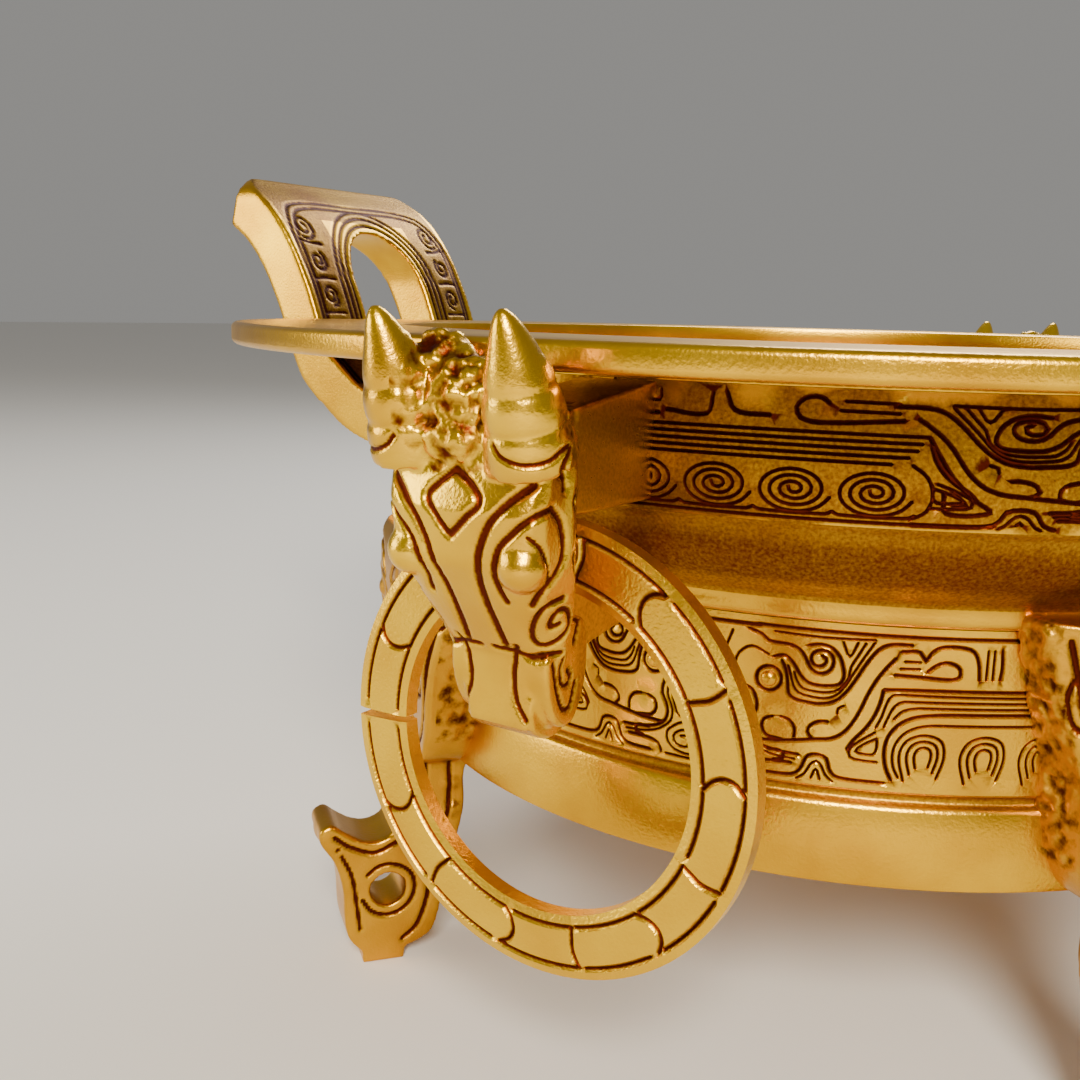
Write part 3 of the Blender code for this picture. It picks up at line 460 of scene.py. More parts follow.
FINE, FINER = (0.42, 0.42), (0.32, 0.34)
belly_half = [([on_belly(s, z) for s, z in pts], *(FINE if half > 0.35 else FINER))
              for pts, half, _ in foot_half if max(s for s, z in pts) < 44]
for centre in (45.2, 35.2, 25.2, 15.2, 5.2):
    belly_half.append((spiral((centre, 123.7), 0.5, 4.8, 200.0, 3.4, 0.66), *FINER))
    belly_half.append(([(centre - 5, 121.0), (centre - 4.2, 120.6), (centre + 4.2, 120.6),
                        (centre + 5, 121.0)], *FINER))
for height, last in ((127.5, 47), (128.4, 49), (129.3, 50), (130.2, 50.5), (131.1, 51.4)):
    belly_half.append(([(1, height), (30, height + 0.1), (last, height)], *FINER))
belly_half += [
    ([(49.5, 127.5), (51.4, 126), (52.2, 123.8), (51.6, 121.6), (50, 120.6)], *FINER),
    ([(51.4, 130.9), (52.9, 128.4), (54.6, 125.9), (57, 123.5), (59.4, 121.8), (54, 121.5),
      (53.5, 124.2)], *FINE), ([(54.6, 124.2), (56.4, 122.6), (54.8, 122.4)], *FINER),
    ([(1, 119.8), (30, 119.8), (52, 119.8), (60, 119.9)], *FINER),
    ([(18, 133), (23.6, 132.8), (24.2, 135.6)], *FINE),
    ([(26, 135.8), (27.3, 133.4), (31.8, 133)], *FINE),
    ([(48.2, 133), (38, 132.4), (35.6, 132.9), (35, 134.2), (36, 135.4), (38, 135.6),
      (39.1, 134.8)], *FINE), ([(40.4, 134), (47.6, 133.9)], *FINER),
    ([(41, 135.2), (47.4, 135.1)], *FINER), ([(1, 132.5), (17, 132.5)], *FINE),
    ([(1, 134.2), (17, 134.2), (17, 135.6)], *FINER), ([(1, 133.4), (16, 133.3)], *FINER)]
belly_lines = []
for pts, half, deep in belly_half + mirrored(belly_half, BELLY_AXIS):
    seen = [(SEEN_AXIS + (s - BELLY_AXIS) * SPREAD_ALONG,
             CAMERA_UP - (CAMERA_UP - z) * SPREAD_UP) for s, z in pts]
    belly_lines.append((seen, half, deep))
print(len(belly_lines), "lines on each quarter of the belly")

# %% [markdown]
# ## The basin
#
# The wall is one line turned round the axis. The two bands stand in it as bent
# sheets, four to a band, so that the rest of the wall can stay light.

# %% Basin
def rounded(points, radius, steps=2):
    """A line whose corners are rounded off where there is room."""
    pts = [np.array(p, float) for p in points]
    out = [pts[0]]
    for a, b, c in zip(pts, pts[1:], pts[2:]):
        reach = min(radius, np.linalg.norm(a - b) * 0.4, np.linalg.norm(c - b) * 0.4)
        first = b + (a - b) / np.linalg.norm(a - b) * reach
        last = b + (c - b) / np.linalg.norm(c - b) * reach
        for t in np.linspace(0.0, 1.0, steps + 1):
            out.append((1 - t) ** 2 * first + 2 * t * (1 - t) * b + t * t * last)
    return out + [pts[-1]]


def under_rim(points):
    """Points (reach, distance below the rim) as (reach, height)."""
    return [(r, RIM_Z - below) for r, below in points]


def turned(profile, steps):
    """A full turn of a profile in mm that starts and ends on the axis, as points and faces."""
    bm = bmesh.new()
    row = [bm.verts.new((r, 0.0, z)) for r, z in profile]
    edges = [bm.edges.new(pair) for pair in zip(row, row[1:])]
    bmesh.ops.spin(bm, geom=row + edges, cent=(0, 0, 0), axis=(0, 0, 1), dvec=(0, 0, 0),
                   angle=2 * math.pi, steps=steps, use_merge=True, use_normal_flip=False,
                   use_duplicate=False)
    bmesh.ops.remove_doubles(bm, verts=bm.verts, dist=0.001)
    bmesh.ops.recalc_face_normals(bm, faces=bm.faces)
    bm.verts.index_update()
    points = np.array([tuple(v.co) for v in bm.verts])
    faces = [tuple(v.index for v in f.verts) for f in bm.faces]
    bm.free()
    return points, faces


RECESS = 0.8
NECK, BELLY, FOOT = 103.4, 104.2, 91.6
BAND_TOP, BAND_BOTTOM = 6.2, 25.8
TURN_STEPS = 216
outside = under_rim([(133.3, 0), (134, 0.7), (134, 3.5), (133.3, 4.2), (NECK + 1.2, 4.4),
                     (NECK, 5.4), (NECK, BAND_TOP), (NECK - RECESS, BAND_TOP + 0.2),
                     (NECK - RECESS, BAND_BOTTOM - 0.2), (NECK, BAND_BOTTOM), (102.2, 27),
                     (100.8, 31), (98.4, 34.6), (95.6, 37.4), (93.8, 38.8), (93.4, 40.2),
                     (93.4, 42.3), (FOOT, 43), (FOOT - RECESS, 43.2), (FOOT - RECESS, 69.8),
                     (FOOT, 70), (90.9, 70.7), (90.9, 71.7), (92.3, 72.4), (92.9, 77.4),
                     (93.8, 85.5)])
inside = under_rim([(0, 35.6), (86.6, 35.6), (91, 34.8), (94.8, 32.4), (97.8, 28), (99.4, 22.4),
                    (100, 16), (100, 4.2), (99.8, 0)])
under = under_rim([(88.8, 85.5), (88.2, 79), (87.5, 71.7), (87.5, 44), (86.6, 40.4), (84.1, 39),
                   (0, 39)])
profile = [inside[0]] + rounded(inside[1:] + outside + under[:-1], 0.9) + [under[-1]]
basin = Mesh()
wall_points, wall_faces = turned(profile, TURN_STEPS)

# Painted shade lies in the tuck under the belly, behind the sheets and in the bowl,
# and under the lip; red-brown patina with painted shade lies in the groove above
# the skirt.
height = wall_points[:, 2]
reach = np.hypot(wall_points[:, 0], wall_points[:, 1])
tuck_shade = (height < RIM_Z - BAND_BOTTOM) & (height > RIM_Z - 39.6) & (reach > 92)
sunk_shade = (reach < 88.6) | (height > 106.6) & (reach < NECK - 2) & (height < 141.5)
lip_shadow = (height < RIM_Z - 4.0) & (height > RIM_Z - 6.0) & (reach > NECK - 1) & (reach < 132)
groove = (np.abs(height - (RIM_Z - 71.2)) < 1.0) & (reach > 90)
basin.add(wall_points, wall_faces, 0.50 * tuck_shade + 0.10 * sunk_shade + 0.5 * lip_shadow + 0.45 * groove)


def belly_radius(z):
    middle, half = (BAND_TOP + BAND_BOTTOM) / 2, (BAND_BOTTOM - BAND_TOP) / 2
    share = np.clip(np.abs(RIM_Z - z - middle) / half, 0, 1)
    return BELLY - (BELLY - NECK) * share ** 2


def foot_radius(z):
    return np.full_like(z, FOOT)


def on_wall(radius_at, length_radius, start_deg, facing):
    """A function that bends a sheet on to the wall from an angle on, facing either way."""
    def place(s, z, rise):
        angle = math.radians(start_deg) + facing * s / length_radius
        reach = radius_at(z) + rise
        return np.column_stack((reach * np.cos(angle), reach * np.sin(angle), z))
    return place


def ready(lines, step):
    return [(smooth(pts, step=step), half, deep) for pts, half, deep in lines]


SPACING, HALF_SHEET = 4.5, 58.0
foot_sheet = engraved_sheet((MASK_AXIS - HALF_SHEET, RIM_Z - 69.9),
                            (MASK_AXIS + HALF_SHEET, RIM_Z - 43.1), ready(foot_lines, 0.9), SPACING)
belly_sheet = engraved_sheet((0.3, RIM_Z - BAND_BOTTOM), (150, RIM_Z - BAND_TOP),
                             ready(belly_lines, 1.0), SPACING)
# Both bands are darkened as painted shade: the foot's a little, the belly's, under the rim's
# overhang, much more.
for quarter in range(4):
    basin.sheet(*foot_sheet, on_wall(foot_radius, FOOT, -90 + 90 * quarter, 1), band_shade=0.10)
for start, facing in ((-90, 1), (-90, -1), (90, 1), (90, -1)):
    basin.sheet(*belly_sheet, on_wall(belly_radius, BELLY, start, facing), band_shade=0.50)


def dome(centre, outward, radius, rise, rings=5, sides=20):
    """A small round boss that sits on a wall."""
    outward = np.array(outward, float) / np.linalg.norm(outward)
    side = np.cross(outward, (0, 0, 1.0))
    side /= np.linalg.norm(side)
    up = np.cross(side, outward)
    points = [np.array(centre) + outward * rise]
    for i in range(1, rings + 1):
        tilt = math.pi / 2 * i / rings
        for k in range(sides):
            angle = 2 * math.pi * k / sides
            across = side * math.cos(angle) + up * math.sin(angle)
            points.append(np.array(centre) + outward * rise * math.cos(tilt)
                          + across * radius * math.sin(tilt))
    faces = [(0, 1 + k, 1 + (k + 1) % sides) for k in range(sides)]
    for i in range(rings - 1):
        for k in range(sides):
            a, b = 1 + i * sides + k, 1 + i * sides + (k + 1) % sides
            faces.append((a, a + sides, b + sides, b))
    return np.array(points), faces


EYE_SEAT = 91.4
for quarter in range(4):
    for s in (EYE_S, 2 * MASK_AXIS - EYE_S):
        angle = math.radians(-90 + 90 * quarter) + s / FOOT
        way = (math.cos(angle), math.sin(angle), 0.0)
        centre = (EYE_SEAT * way[0], EYE_SEAT * way[1], EYE_HEIGHT)
        basin.add(*dome(centre, way, 1.35, 0.95))
piece("basin_body", basin.build("basin_body"), "vessel", ["basin"], gold_basin)

# %% [markdown]
# ## The rings
#
# A ring is a flat strip bent round. Its two faces carry broken lines near both
# edges and arched lines across, which make panels. A narrow slit parts it.

# %% Rings
RING_IN, RING_OUT, RING_THICK = 25.4, 35.2, 3.4
RING_MID = (RING_IN + RING_OUT) / 2
RING_REACH, RING_TOP = 120.8, 25.2
SLIT_DEG, SLIT_HALF = 182.0, 0.55
PANELS = 14
strip = 2 * math.pi * RING_MID - 2 * SLIT_HALF
ring_lines = []
for k in range(PANELS):
    first, last = strip * k / PANELS, strip * (k + 1) / PANELS
    lean = 1.2 if k % 2 else -0.6
    outer_gap, inner_gap = (1.6, 0.5) if k % 3 else (0.6, 1.4)
    ring_lines.append(([(first + outer_gap * 0.5, 8.0), (last - outer_gap, 8.0)], 0.55, 0.6))
    ring_lines.append(([(first + inner_gap, 1.75), (last - inner_gap * 0.4, 1.75)], 0.58, 0.6))
    if k:
        ring_lines.append(([(first - 0.3, 1.75), (first + lean, 3.2), (first + 1.5 * lean, 5.0),
                            (first + lean, 6.8), (first - 0.2, 8.0)], 0.62, 0.62))
face = engraved_sheet((0, 0), (strip, RING_OUT - RING_IN), ready(ring_lines, 0.9), 1.6)


def round_ring(s, v, rise, side, middle):
    """Bends the strip into the hanging ring at the front: x along, z up, y through."""
    angle = math.radians(SLIT_DEG) + (s + SLIT_HALF) / RING_MID
    edge = np.minimum(v, (RING_OUT - RING_IN) - v)
    soft = 0.35 * np.clip(1 - edge / 0.5, 0, 1) ** 2
    reach = RING_IN + v
    y = -RING_REACH - side * (RING_THICK / 2 + rise - soft)
    return np.column_stack((reach * np.cos(angle), y, middle + reach * np.sin(angle)))


def make_ring():
    flat, faces, depth, near, order = face
    ring = Mesh()
    middle = RIM_Z - RING_TOP - RING_OUT
    for side in (1, -1):
        # Patina and painted shade in the engraved lines; the narrow edges are darkened a little.
        ring.add(round_ring(flat[:, 0], flat[:, 1], -depth, side, middle), faces, near)
    rim, n = flat[order], len(order)
    front = round_ring(rim[:, 0], rim[:, 1], np.zeros(n), 1, middle)
    back = round_ring(rim[:, 0], rim[:, 1], np.zeros(n), -1, middle)
    quads = [(i, (i + 1) % n, n + (i + 1) % n, n + i) for i in range(n)]
    ring.add(np.concatenate((front, back)), quads, 0.15)
    return ring.build("ring")


repeated(make_ring(), "ring", {"front": 0, "back": 180}, ("front_ring", "back_ring"),
         gold_rings, 38.0)

# %% [markdown]
# ## Sculpted pieces
#
# Heads, legs and ears start as simple closed shapes that overlap. A voxel remesh
# joins them into one skin, a little smoothing rounds the joins as wax does, and
# the engraved lines are then pressed into the skin.

# %% Sculpting tools
def block(outline, low, high, place):
    """A closed block: an outline drawn from low to high, as a bmesh in mm."""
    bm = bmesh.new()
    first = [bm.verts.new(place(a, b, low)) for a, b in outline]
    last = [bm.verts.new(place(a, b, high)) for a, b in outline]
    n = len(first)
    bm.faces.new(first[::-1])
    bm.faces.new(last)
    for i in range(n):
        bm.faces.new((first[i], first[(i + 1) % n], last[(i + 1) % n], last[i]))
    bmesh.ops.recalc_face_normals(bm, faces=bm.faces)
    return bm


def skin(rows):
    """A closed skin over rows of points, as a bmesh in mm."""
    bm = bmesh.new()
    rings = [[bm.verts.new(tuple(p)) for p in row] for row in rows]
    n = len(rings[0])
    for a, b in zip(rings, rings[1:]):
        for i in range(n):
            bm.faces.new((a[i], a[(i + 1) % n], b[(i + 1) % n], b[i]))
    bm.faces.new(rings[0][::-1])
    bm.faces.new(rings[-1])
    bmesh.ops.recalc_face_normals(bm, faces=bm.faces)
    return bm


def egg(centre, radii, sides=28):
    bm = bmesh.new()
    bmesh.ops.create_uvsphere(bm, u_segments=sides, v_segments=sides // 2, radius=1.0)
    bmesh.ops.scale(bm, vec=radii, verts=bm.verts)
    bmesh.ops.translate(bm, vec=centre, verts=bm.verts)
    return bm


def scratch_object(bm):
    mesh = bpy.data.meshes.new("scratch")
    bm.to_mesh(mesh)
    bm.free()
    return placed("scratch", mesh)


def settled(obj):
    """The object's mesh with its modifiers applied; the object goes."""
    graph = bpy.context.evaluated_depsgraph_get()
    mesh = bpy.data.meshes.new_from_object(obj.evaluated_get(graph))
    bpy.data.objects.remove(obj, do_unlink=True)
    return mesh


def joined(parts):
    """Several bmeshes as one mesh, still overlapping."""
    bm = bmesh.new()
    for part in parts:
        mesh = bpy.data.meshes.new("part")
        part.to_mesh(mesh)
        part.free()
        bm.from_mesh(mesh)
        bpy.data.meshes.remove(mesh)
    return bm


def carved(bm, tools):
    """A block after booleans with other blocks, as a bmesh."""
    obj = scratch_object(bm)
    made = []
    for tool, operation in tools:
        made.append(scratch_object(tool))
        cut = obj.modifiers.new("cut", "BOOLEAN")
        cut.operation, cut.solver, cut.object = operation, "EXACT", made[-1]
    mesh = settled(obj)
    for tool in made:
        bpy.data.objects.remove(tool, do_unlink=True)
    bm = bmesh.new()
    bm.from_mesh(mesh)
    return bm


def remeshed(bm, voxel, smoothing=4):
    """One skin round everything, remeshed and smoothed."""
    obj = scratch_object(bm)
    fine = obj.modifiers.new("skin", "REMESH")
    fine.mode, fine.voxel_size = "VOXEL", voxel
    mesh = settled(obj)
    bm = bmesh.new()
    bm.from_mesh(mesh)
    for _ in range(smoothing):
        bmesh.ops.smooth_vert(bm, verts=bm.verts, factor=0.5, use_axis_x=True, use_axis_y=True,
                              use_axis_z=True)
    bm.to_mesh(mesh)
    bm.free()
    return mesh


def coordinates(mesh):
    points = np.zeros(len(mesh.vertices) * 3, np.float32)
    mesh.vertices.foreach_get("co", points)
    normals = np.zeros(len(mesh.vertices) * 3, np.float32)
    mesh.vertex_normals.foreach_get("vector", normals)
    return points.reshape(-1, 3).astype(float), normals.reshape(-1, 3).astype(float)


def pressed(mesh, lines, extra_wash=None, rough=None):
    """Presses lines, laid on the skin, into it; roughens it where asked; stores the patina and
    painted shade.
    """
    points, normals = coordinates(mesh)
    tree = BVHTree.FromPolygons(points.tolist(), [tuple(p.vertices) for p in mesh.polygons])
    laid = []
    for pts, half, deep in lines:
        line = smooth(pts, step=0.5)
        line = np.array([tuple(tree.find_nearest(Vector(p))[0]) for p in line])
        laid.append((line, half, deep))
    depth, near = line_field(points, laid, power=0.8)
    bumps = np.zeros(len(points))
    # Red-brown patina and painted shade in the pressed lines.
    wash = np.clip(near * 1.4, 0, 1)
    if rough is not None:
        amount = rough(points)
        for i in np.nonzero(amount > 0.02)[0]:
            lump = (1.3 * noise.noise(Vector(points[i] * 0.5))
                    + 0.5 * noise.noise(Vector(points[i] * 1.3)))
            bumps[i] = amount[i] * lump
            # The crust's own brown, with painted shade deeper in its dents.
            dark = 0.20 + 0.30 * min(amount[i], 1.0) - 0.45 * lump
            wash[i] = max(wash[i], min(1.0, dark))
    if extra_wash is not None:
        wash = np.clip(np.maximum(wash, extra_wash(points, normals)), 0, 1)
    points += normals * (bumps - depth)[:, None]
    mesh.vertices.foreach_set("co", (points * MM).astype(np.float32).ravel())
    held = mesh.attributes.new("wash", "FLOAT", "POINT")
    held.data.foreach_set("value", wash.astype(np.float32))
    mesh.update()
    return mesh


# %% [markdown]
# ## The beast heads
#
# Broad brow, long muzzle, a rolled snout with a leaf on each side, two ringed
# horns, and round eyes. Lines are laid on in three dimensions: outwards from
# the basin's axis, across, and up, as the photo's camera sees them. The head's
# own middle is `AXIS`, and its neck ends inside the wall, at `SEAT`. Both heads
# are the same casting.

# %% Head
levels = np.array([  # below the rim, back, half width, front, half width of the front
    (7, 129.4, 7.4, 135.6, 5.2), (9, 128.3, 9, 136.9, 7.2), (12, 127.1, 11.8, 139.5, 11.2),
    (17, 126.3, 12.9, 141.5, 12.4), (22, 126.3, 12.9, 142.9, 12.2), (29, 126.3, 12.8, 141.9, 11.4),
    (36, 126.3, 11.8, 137.5, 9.6), (43, 126.3, 10, 133.2, 6.6), (49, 125.3, 7.6, 132.4, 6)])


def head_section(below):
    back, half, front, half_front = (np.interp(below, levels[:, 0], levels[:, k])
                                     for k in range(1, 5))
    depth = front - back
    right = [(back, half * 0.22), (back + depth * 0.05, half * 0.5),
             (back + depth * 0.17, half * 0.74), (back + depth * 0.36, half),
             (back + depth * 0.55, half * 0.97), (front - depth * 0.13, half_front),
             (front - depth * 0.02, half_front * 0.5)]
    row = right + [(r, -y) for r, y in reversed(right)]
    return [(r, y + AXIS * 0.8, RIM_Z - below) for r, y in smooth(row, closed=True, step=1.2)[:-1]]


def head_rows():
    rows = [head_section(b) for b in np.arange(7.0, 49.1, 1.5)]
    count = min(len(r) for r in rows)
    even = []
    for row in rows:
        loop = np.array(row + row[:1])
        gone = np.concatenate(([0], np.cumsum(np.linalg.norm(np.diff(loop, axis=0), axis=1))))
        spots = np.linspace(0, gone[-1], count + 1)[:-1]
        even.append(np.column_stack([np.interp(spots, gone, loop[:, k]) for k in range(3)]))
    return even


def horn_rows(sign):
    """A ringed horn: three bulges parted by grooves, drawn to a blunt tip."""
    base = np.array((137.8, AXIS + sign * 9.6, RIM_Z - 16.0))
    lean = np.array((6.0, sign * 0.5, 19.5))
    lean /= np.linalg.norm(lean)
    side = np.cross(lean, (0, 1.0, 0))
    side /= np.linalg.norm(side)
    other = np.cross(lean, side)
    shape = [(0, 1.02), (0.05, 1.04), (0.16, 1.03), (0.25, 0.99), (0.285, 0.88), (0.32, 0.95),
             (0.42, 0.93), (0.49, 0.86), (0.525, 0.77), (0.56, 0.80), (0.66, 0.70), (0.78, 0.53),
             (0.88, 0.38), (0.95, 0.25), (1, 0.10)]
    rows = []
    for share, width in shape:
        middle = base + lean * 20.6 * share + np.array((0.9, -0.8, 0.0)) * share ** 3
        ring = [middle + 5.7 * width * (side * math.cos(a) + other * math.sin(a))
                for a in np.linspace(0, 2 * math.pi, 28, endpoint=False)]
        rows.append(ring)
    return rows


def across_block(outline, half, centre=0.0):
    """A block from its side view (reach, height)."""
    return block(outline, centre - half, centre + half, lambda r, z, y: (r, y, z))


def facing_block(outline, low, high):
    """A block from its front view (across, height)."""
    return block(outline, low, high, lambda y, z, r: (r, y, z))


def plan_block(outline, low, high):
    """A block from its plan (reach, across)."""
    return block(outline, low, high, lambda r, y, z: (r, y, z))


def circle(centre, radius, count=28):
    return [(centre[0] + radius * math.cos(a), centre[1] + radius * math.sin(a))
            for a in np.linspace(0, 2 * math.pi, count, endpoint=False)]


AXIS = -1.0
SEAT = NECK - 1.7
parts = [skin(head_rows())]
leaf = smooth([(132.4, 99.5), (132.6, 96), (131.2, 91.6), (128.6, 88.6), (125.6, 88.8),
               (123.2, 92.2), (122.2, 97), (123, 103), (127.6, 104)], closed=True, step=0.8)[:-1]
for sign in (1, -1):
    parts.append(skin(horn_rows(sign)))
    parts.append(egg((138.9, AXIS + sign * 9.2, RIM_Z - 28.8), (3.4, 3.5, 3.5)))
    parts.append(across_block(leaf, 1.7, sign * 6.6))
parts.append(across_block(circle((127.0, RIM_Z - 50.3), 5.6), 5.8))
parts.append(across_block([(124.0, 99.0), (132.5, 99.0), (132.6, 88.4), (124.0, 87.6)], 4.8))
parts.append(across_block([(SEAT, 117.7), (130.3, 117.7), (130.3, 132), (SEAT, 135.8)], 7.0))
parts.append(across_block([(92.6, 100.3), (129.3, 95.1), (129.3, 106.1), (92.6, 106.1)], 4.2))
parts.append(egg((137.2, -3, RIM_Z - 8.4), (5, 6.6, 6.8)))
parts.append(egg((136.4, -7, RIM_Z - 3.6), (4, 4.6, 4.6)))
parts.append(egg((139.8, -2.4, RIM_Z - 13), (3.2, 5, 3.6)))
head_mesh = remeshed(joined(parts), 0.40)

brow = [(138.8, 10.8, 123.9), (141.2, 8.3, 121.6), (142.3, 6.4, 119.2), (142.1, 4.8, 116.4),
        (141.7, 3.9, 114), (140.4, 3.2, 111), (137.9, 2.7, 107.1), (135.9, 2.6, 104.2),
        (133.7, 2.9, 100.6)]
brow_in = [(138.8, 15.0, 129.0), (138.6, 14.0, 126.6), (135.6, 12.2, 123.2)]
eye_in = [(137.4, 11.2, 120.6), (140.4, 9.9, 119.4), (140.9, 7.6, 117.4), (141.2, 5.8, 115.4),
          (141, 5, 112.9), (139.7, 4.7, 110.3), (138.3, 5.3, 107.8)]
eye_out = [(137.1, 11.4, 120.9), (136.1, 12, 119.2), (135.7, 12.4, 116.3), (136.5, 12.6, 113.9),
           (138, 12.2, 111.8), (138.6, 10.8, 109.8), (137, 8.6, 107.6)]
volute = [(132.6, 10.6, 108.3), (134.2, 8.9, 107), (134.6, 7.5, 105.1), (134, 6.6, 102.6),
          (132.4, 6.9, 101), (130.8, 8.4, 101.5), (129.8, 9.8, 103.5), (130.9, 10.4, 106),
          (132.4, 10.2, 106.6), (133.1, 9.2, 105.2), (132.4, 8.6, 103.8), (131.5, 9.4, 104.3)]
rear = [(130.6, 13, 127), (128.9, 12.2, 122.5), (128.6, 12, 116), (128.4, 11.4, 110),
        (128.2, 10.4, 105), (127.8, 9.4, 101)]
small_a = [(132.4, 12.2, 123.1), (133.2, 12.2, 121.3), (131.4, 12.2, 119.6)]
small_b = [(131.4, 12, 116.1), (132.6, 12, 113.9), (131.2, 12, 111.6), (130.1, 12, 112.6),
           (130.4, 12, 114.2), (131.5, 12, 113.8)]
snout_side = [(132.6, 3.1, 100.2), (133.1, 3.1, 96), (132.4, 3.1, 92.4), (130, 3.1, 88.8)]
snout_top = [(133.6, 0, 99.9), (133.2, 3, 99.7), (131.9, 5.3, 99), (131, 7, 99.4),
             (129.4, 8.4, 99.6)]
leaf_line = [(131.2, 8.4, 98.4), (130.2, 8.4, 94.6), (128.6, 8.4, 91.4), (127, 8.4, 91.2),
             (125.6, 8.4, 94.6)]
leaf_curl = [(128.4, 8.4, 98.8), (129.4, 8.4, 97.2), (129, 8.4, 95.2), (127.6, 8.4, 94.6),
             (126.9, 8.4, 95.8), (127.6, 8.4, 96.8)]
head_points, _ = coordinates(head_mesh)
head_tree = BVHTree.FromPolygons(head_points.tolist(),
                                 [tuple(p.vertices) for p in head_mesh.polygons])
EYE_PLACE = Vector((CAMERA_OUT, CAMERA_ACROSS, CAMERA_UP))


NEAR_ENOUGH = 6.0


def laid_from_eye(line, shift):
    """The line as the photo's camera sees it, laid on the skin."""
    out = []
    for r, y, z in smooth(line, step=0.6):
        spot = Vector((r, y + shift, z))
        hit = head_tree.ray_cast(EYE_PLACE, (spot - EYE_PLACE).normalized())[0]
        if hit is None or (hit - spot).length >= NEAR_ENOUGH:
            hit = head_tree.find_nearest(spot)[0]
        out.append(tuple(hit))
    return out


crease = [(139.9 + 0.3 * math.cos(a), 8.8 + 4.3 * math.cos(a), 113.0 + 4.3 * math.sin(a))
          for a in np.radians((80, 50, 20, -10, -40))]
horn_foot = [(140.4, 4, 128.6), (143.2, 7.6, 127.4), (143.2, 10.8, 126.8), (141.6, 13.6, 127.4),
             (139.4, 15, 129.4)]
head_marks = [(brow, AXIS, 0.85, 0.8), (brow_in, 0, 0.7, 0.65), (eye_in, 0, 0.72, 0.75),
              (eye_out, 0, 0.72, 0.75), (crease, 0, 0.42, 0.4), (volute, 0, 0.62, 0.6),
              (rear, 0, 0.55, 0.5), (small_a, 0, 0.38, 0.4), (small_b, 0, 0.38, 0.4),
              (snout_side, 0, 0.6, 0.6), (snout_top, 0, 0.6, 0.6), (leaf_line, 0, 0.55, 0.55),
              (leaf_curl, 0, 0.5, 0.55), (horn_foot, 0, 0.5, 0.6)]
head_lines = []
for sign in (1, -1):
    for line, shift, half, deep in head_marks:
        laid = laid_from_eye(line, shift)
        if sign < 0:
            laid = [(r, 2 * AXIS - y, z) for r, y, z in laid]
        head_lines.append((laid, half, deep))
diamond = [
    [(142.1, -0.3, 116.6), (142.4, 2.4, 119.2), (142, 4.2, 121.4), (141.4, 2.6, 123.4),
     (141.2, 0, 125.2)],
    [(141.2, 0, 125.2), (141.4, -2.6, 123.4), (142, -4.2, 121.4), (142.4, -2.6, 119.2),
     (142.1, -0.9, 117)]]
head_lines += [(laid_from_eye(line, AXIS), 0.75, 0.75) for line in diamond]


def crust(points):
    """How rough the solder is: behind and between the horns, and in patches on them."""
    spots = (((136.8, -3, 134.5), 8.5, 1.2), ((140.5, -1, 128.5), 4.6, 0.8),
             ((138, -7, 139.6), 4.6, 1.1), ((138, 12, 141), 3.2, 0.5),
             ((136.5, 13.4, 129), 3.4, 0.5), ((131, 0, 134), 9, 0.9))
    amount = np.zeros(len(points))
    for centre, radius, strength in spots:
        away = np.linalg.norm(points - np.array(centre), axis=1)
        amount = np.maximum(amount, strength * np.clip(1.25 - away / radius, 0, 1))
    return amount


def head_wash(points, normals):
    # Painted shade: darker at the back, towards the wall, and towards the jaw.
    behind = np.clip((127.6 - points[:, 0]) / 3, 0, 1) * 0.3
    jaw = np.clip((106 - points[:, 2]) / 14, 0, 1) * 0.16
    return behind + jaw


pressed(head_mesh, head_lines, head_wash, crust)
repeated(head_mesh, "beast_head", {"front": -90, "back": 90}, ("vessel", "vessel"),
         gold_heads)

# %% [markdown]
# ## The legs
#
# A beast mask on the ring foot, a shank, and a curled foot on a pad. The side
# view and the front view are two blocks, and the leg is what they share.

# %% Legs
side_view = under_rim([(88.6, 39.8), (95.5, 39.8), (102.2, 40.8), (104.6, 47), (104, 56.4),
                       (101.5, 65.6), (101, 80.4), (101.9, 90.3), (102.7, 98.2), (105.6, 103.2),
                       (110, 104.1), (114.7, 101.7), (117.4, 99.8), (119.8, 101.2), (119.5, 103.8),
                       (116.8, 108.1), (115.1, 114.3), (114.7, 121.3), (113.8, 125.4),
                       (111.2, 128.4)])
inner_view = under_rim([(101.8, 128.4), (98.8, 127.4), (96.1, 125.1), (94.2, 117.7), (93.4, 110.4),
                        (91.4, 103.8), (90.1, 97.1), (90.3, 90), (88.8, 86)])
pad = under_rim([(111, 128.5), (111, 131), (102.2, 131), (102.2, 128.5)])
side_outline = [*smooth(side_view, step=1.0), *pad, *smooth(inner_view, step=1.0)]
front_half = smooth(under_rim([(25.2, 39), (24.8, 43), (21.8, 55), (19.2, 64), (18.4, 72),
                               (17.8, 78), (14.8, 84.2), (9.2, 87), (8, 91), (7.6, 104.5),
                               (6.2, 116), (6.2, 132)]), step=2)
plan_half = smooth([(140, 6.4), (104.6, 7), (104.2, 10), (102.8, 14), (99.6, 19), (96.4, 23.4),
                    (93.6, 26)], step=1.5)
plan_outline = [*plan_half, (80, 26), (80, -26), *[(r, -y) for r, y in plan_half[::-1]]]
front_outline = [*front_half, *[(-y, z) for y, z in front_half[::-1]]]
HOLE, HOLE_RADIUS = (105.8, 27.0), 3.7
leg_body = carved(across_block(side_outline, 27), [
    (facing_block(front_outline, 60, 140), "INTERSECT"),
    (plan_block(plan_outline, 0, 120), "INTERSECT"),
    (across_block(circle(HOLE, HOLE_RADIUS), 30), "DIFFERENCE")])
bosses = [egg((99.2, sign * 17.6, 90.6), (3.8, 3.4, 3.4), 20) for sign in (1, -1)]
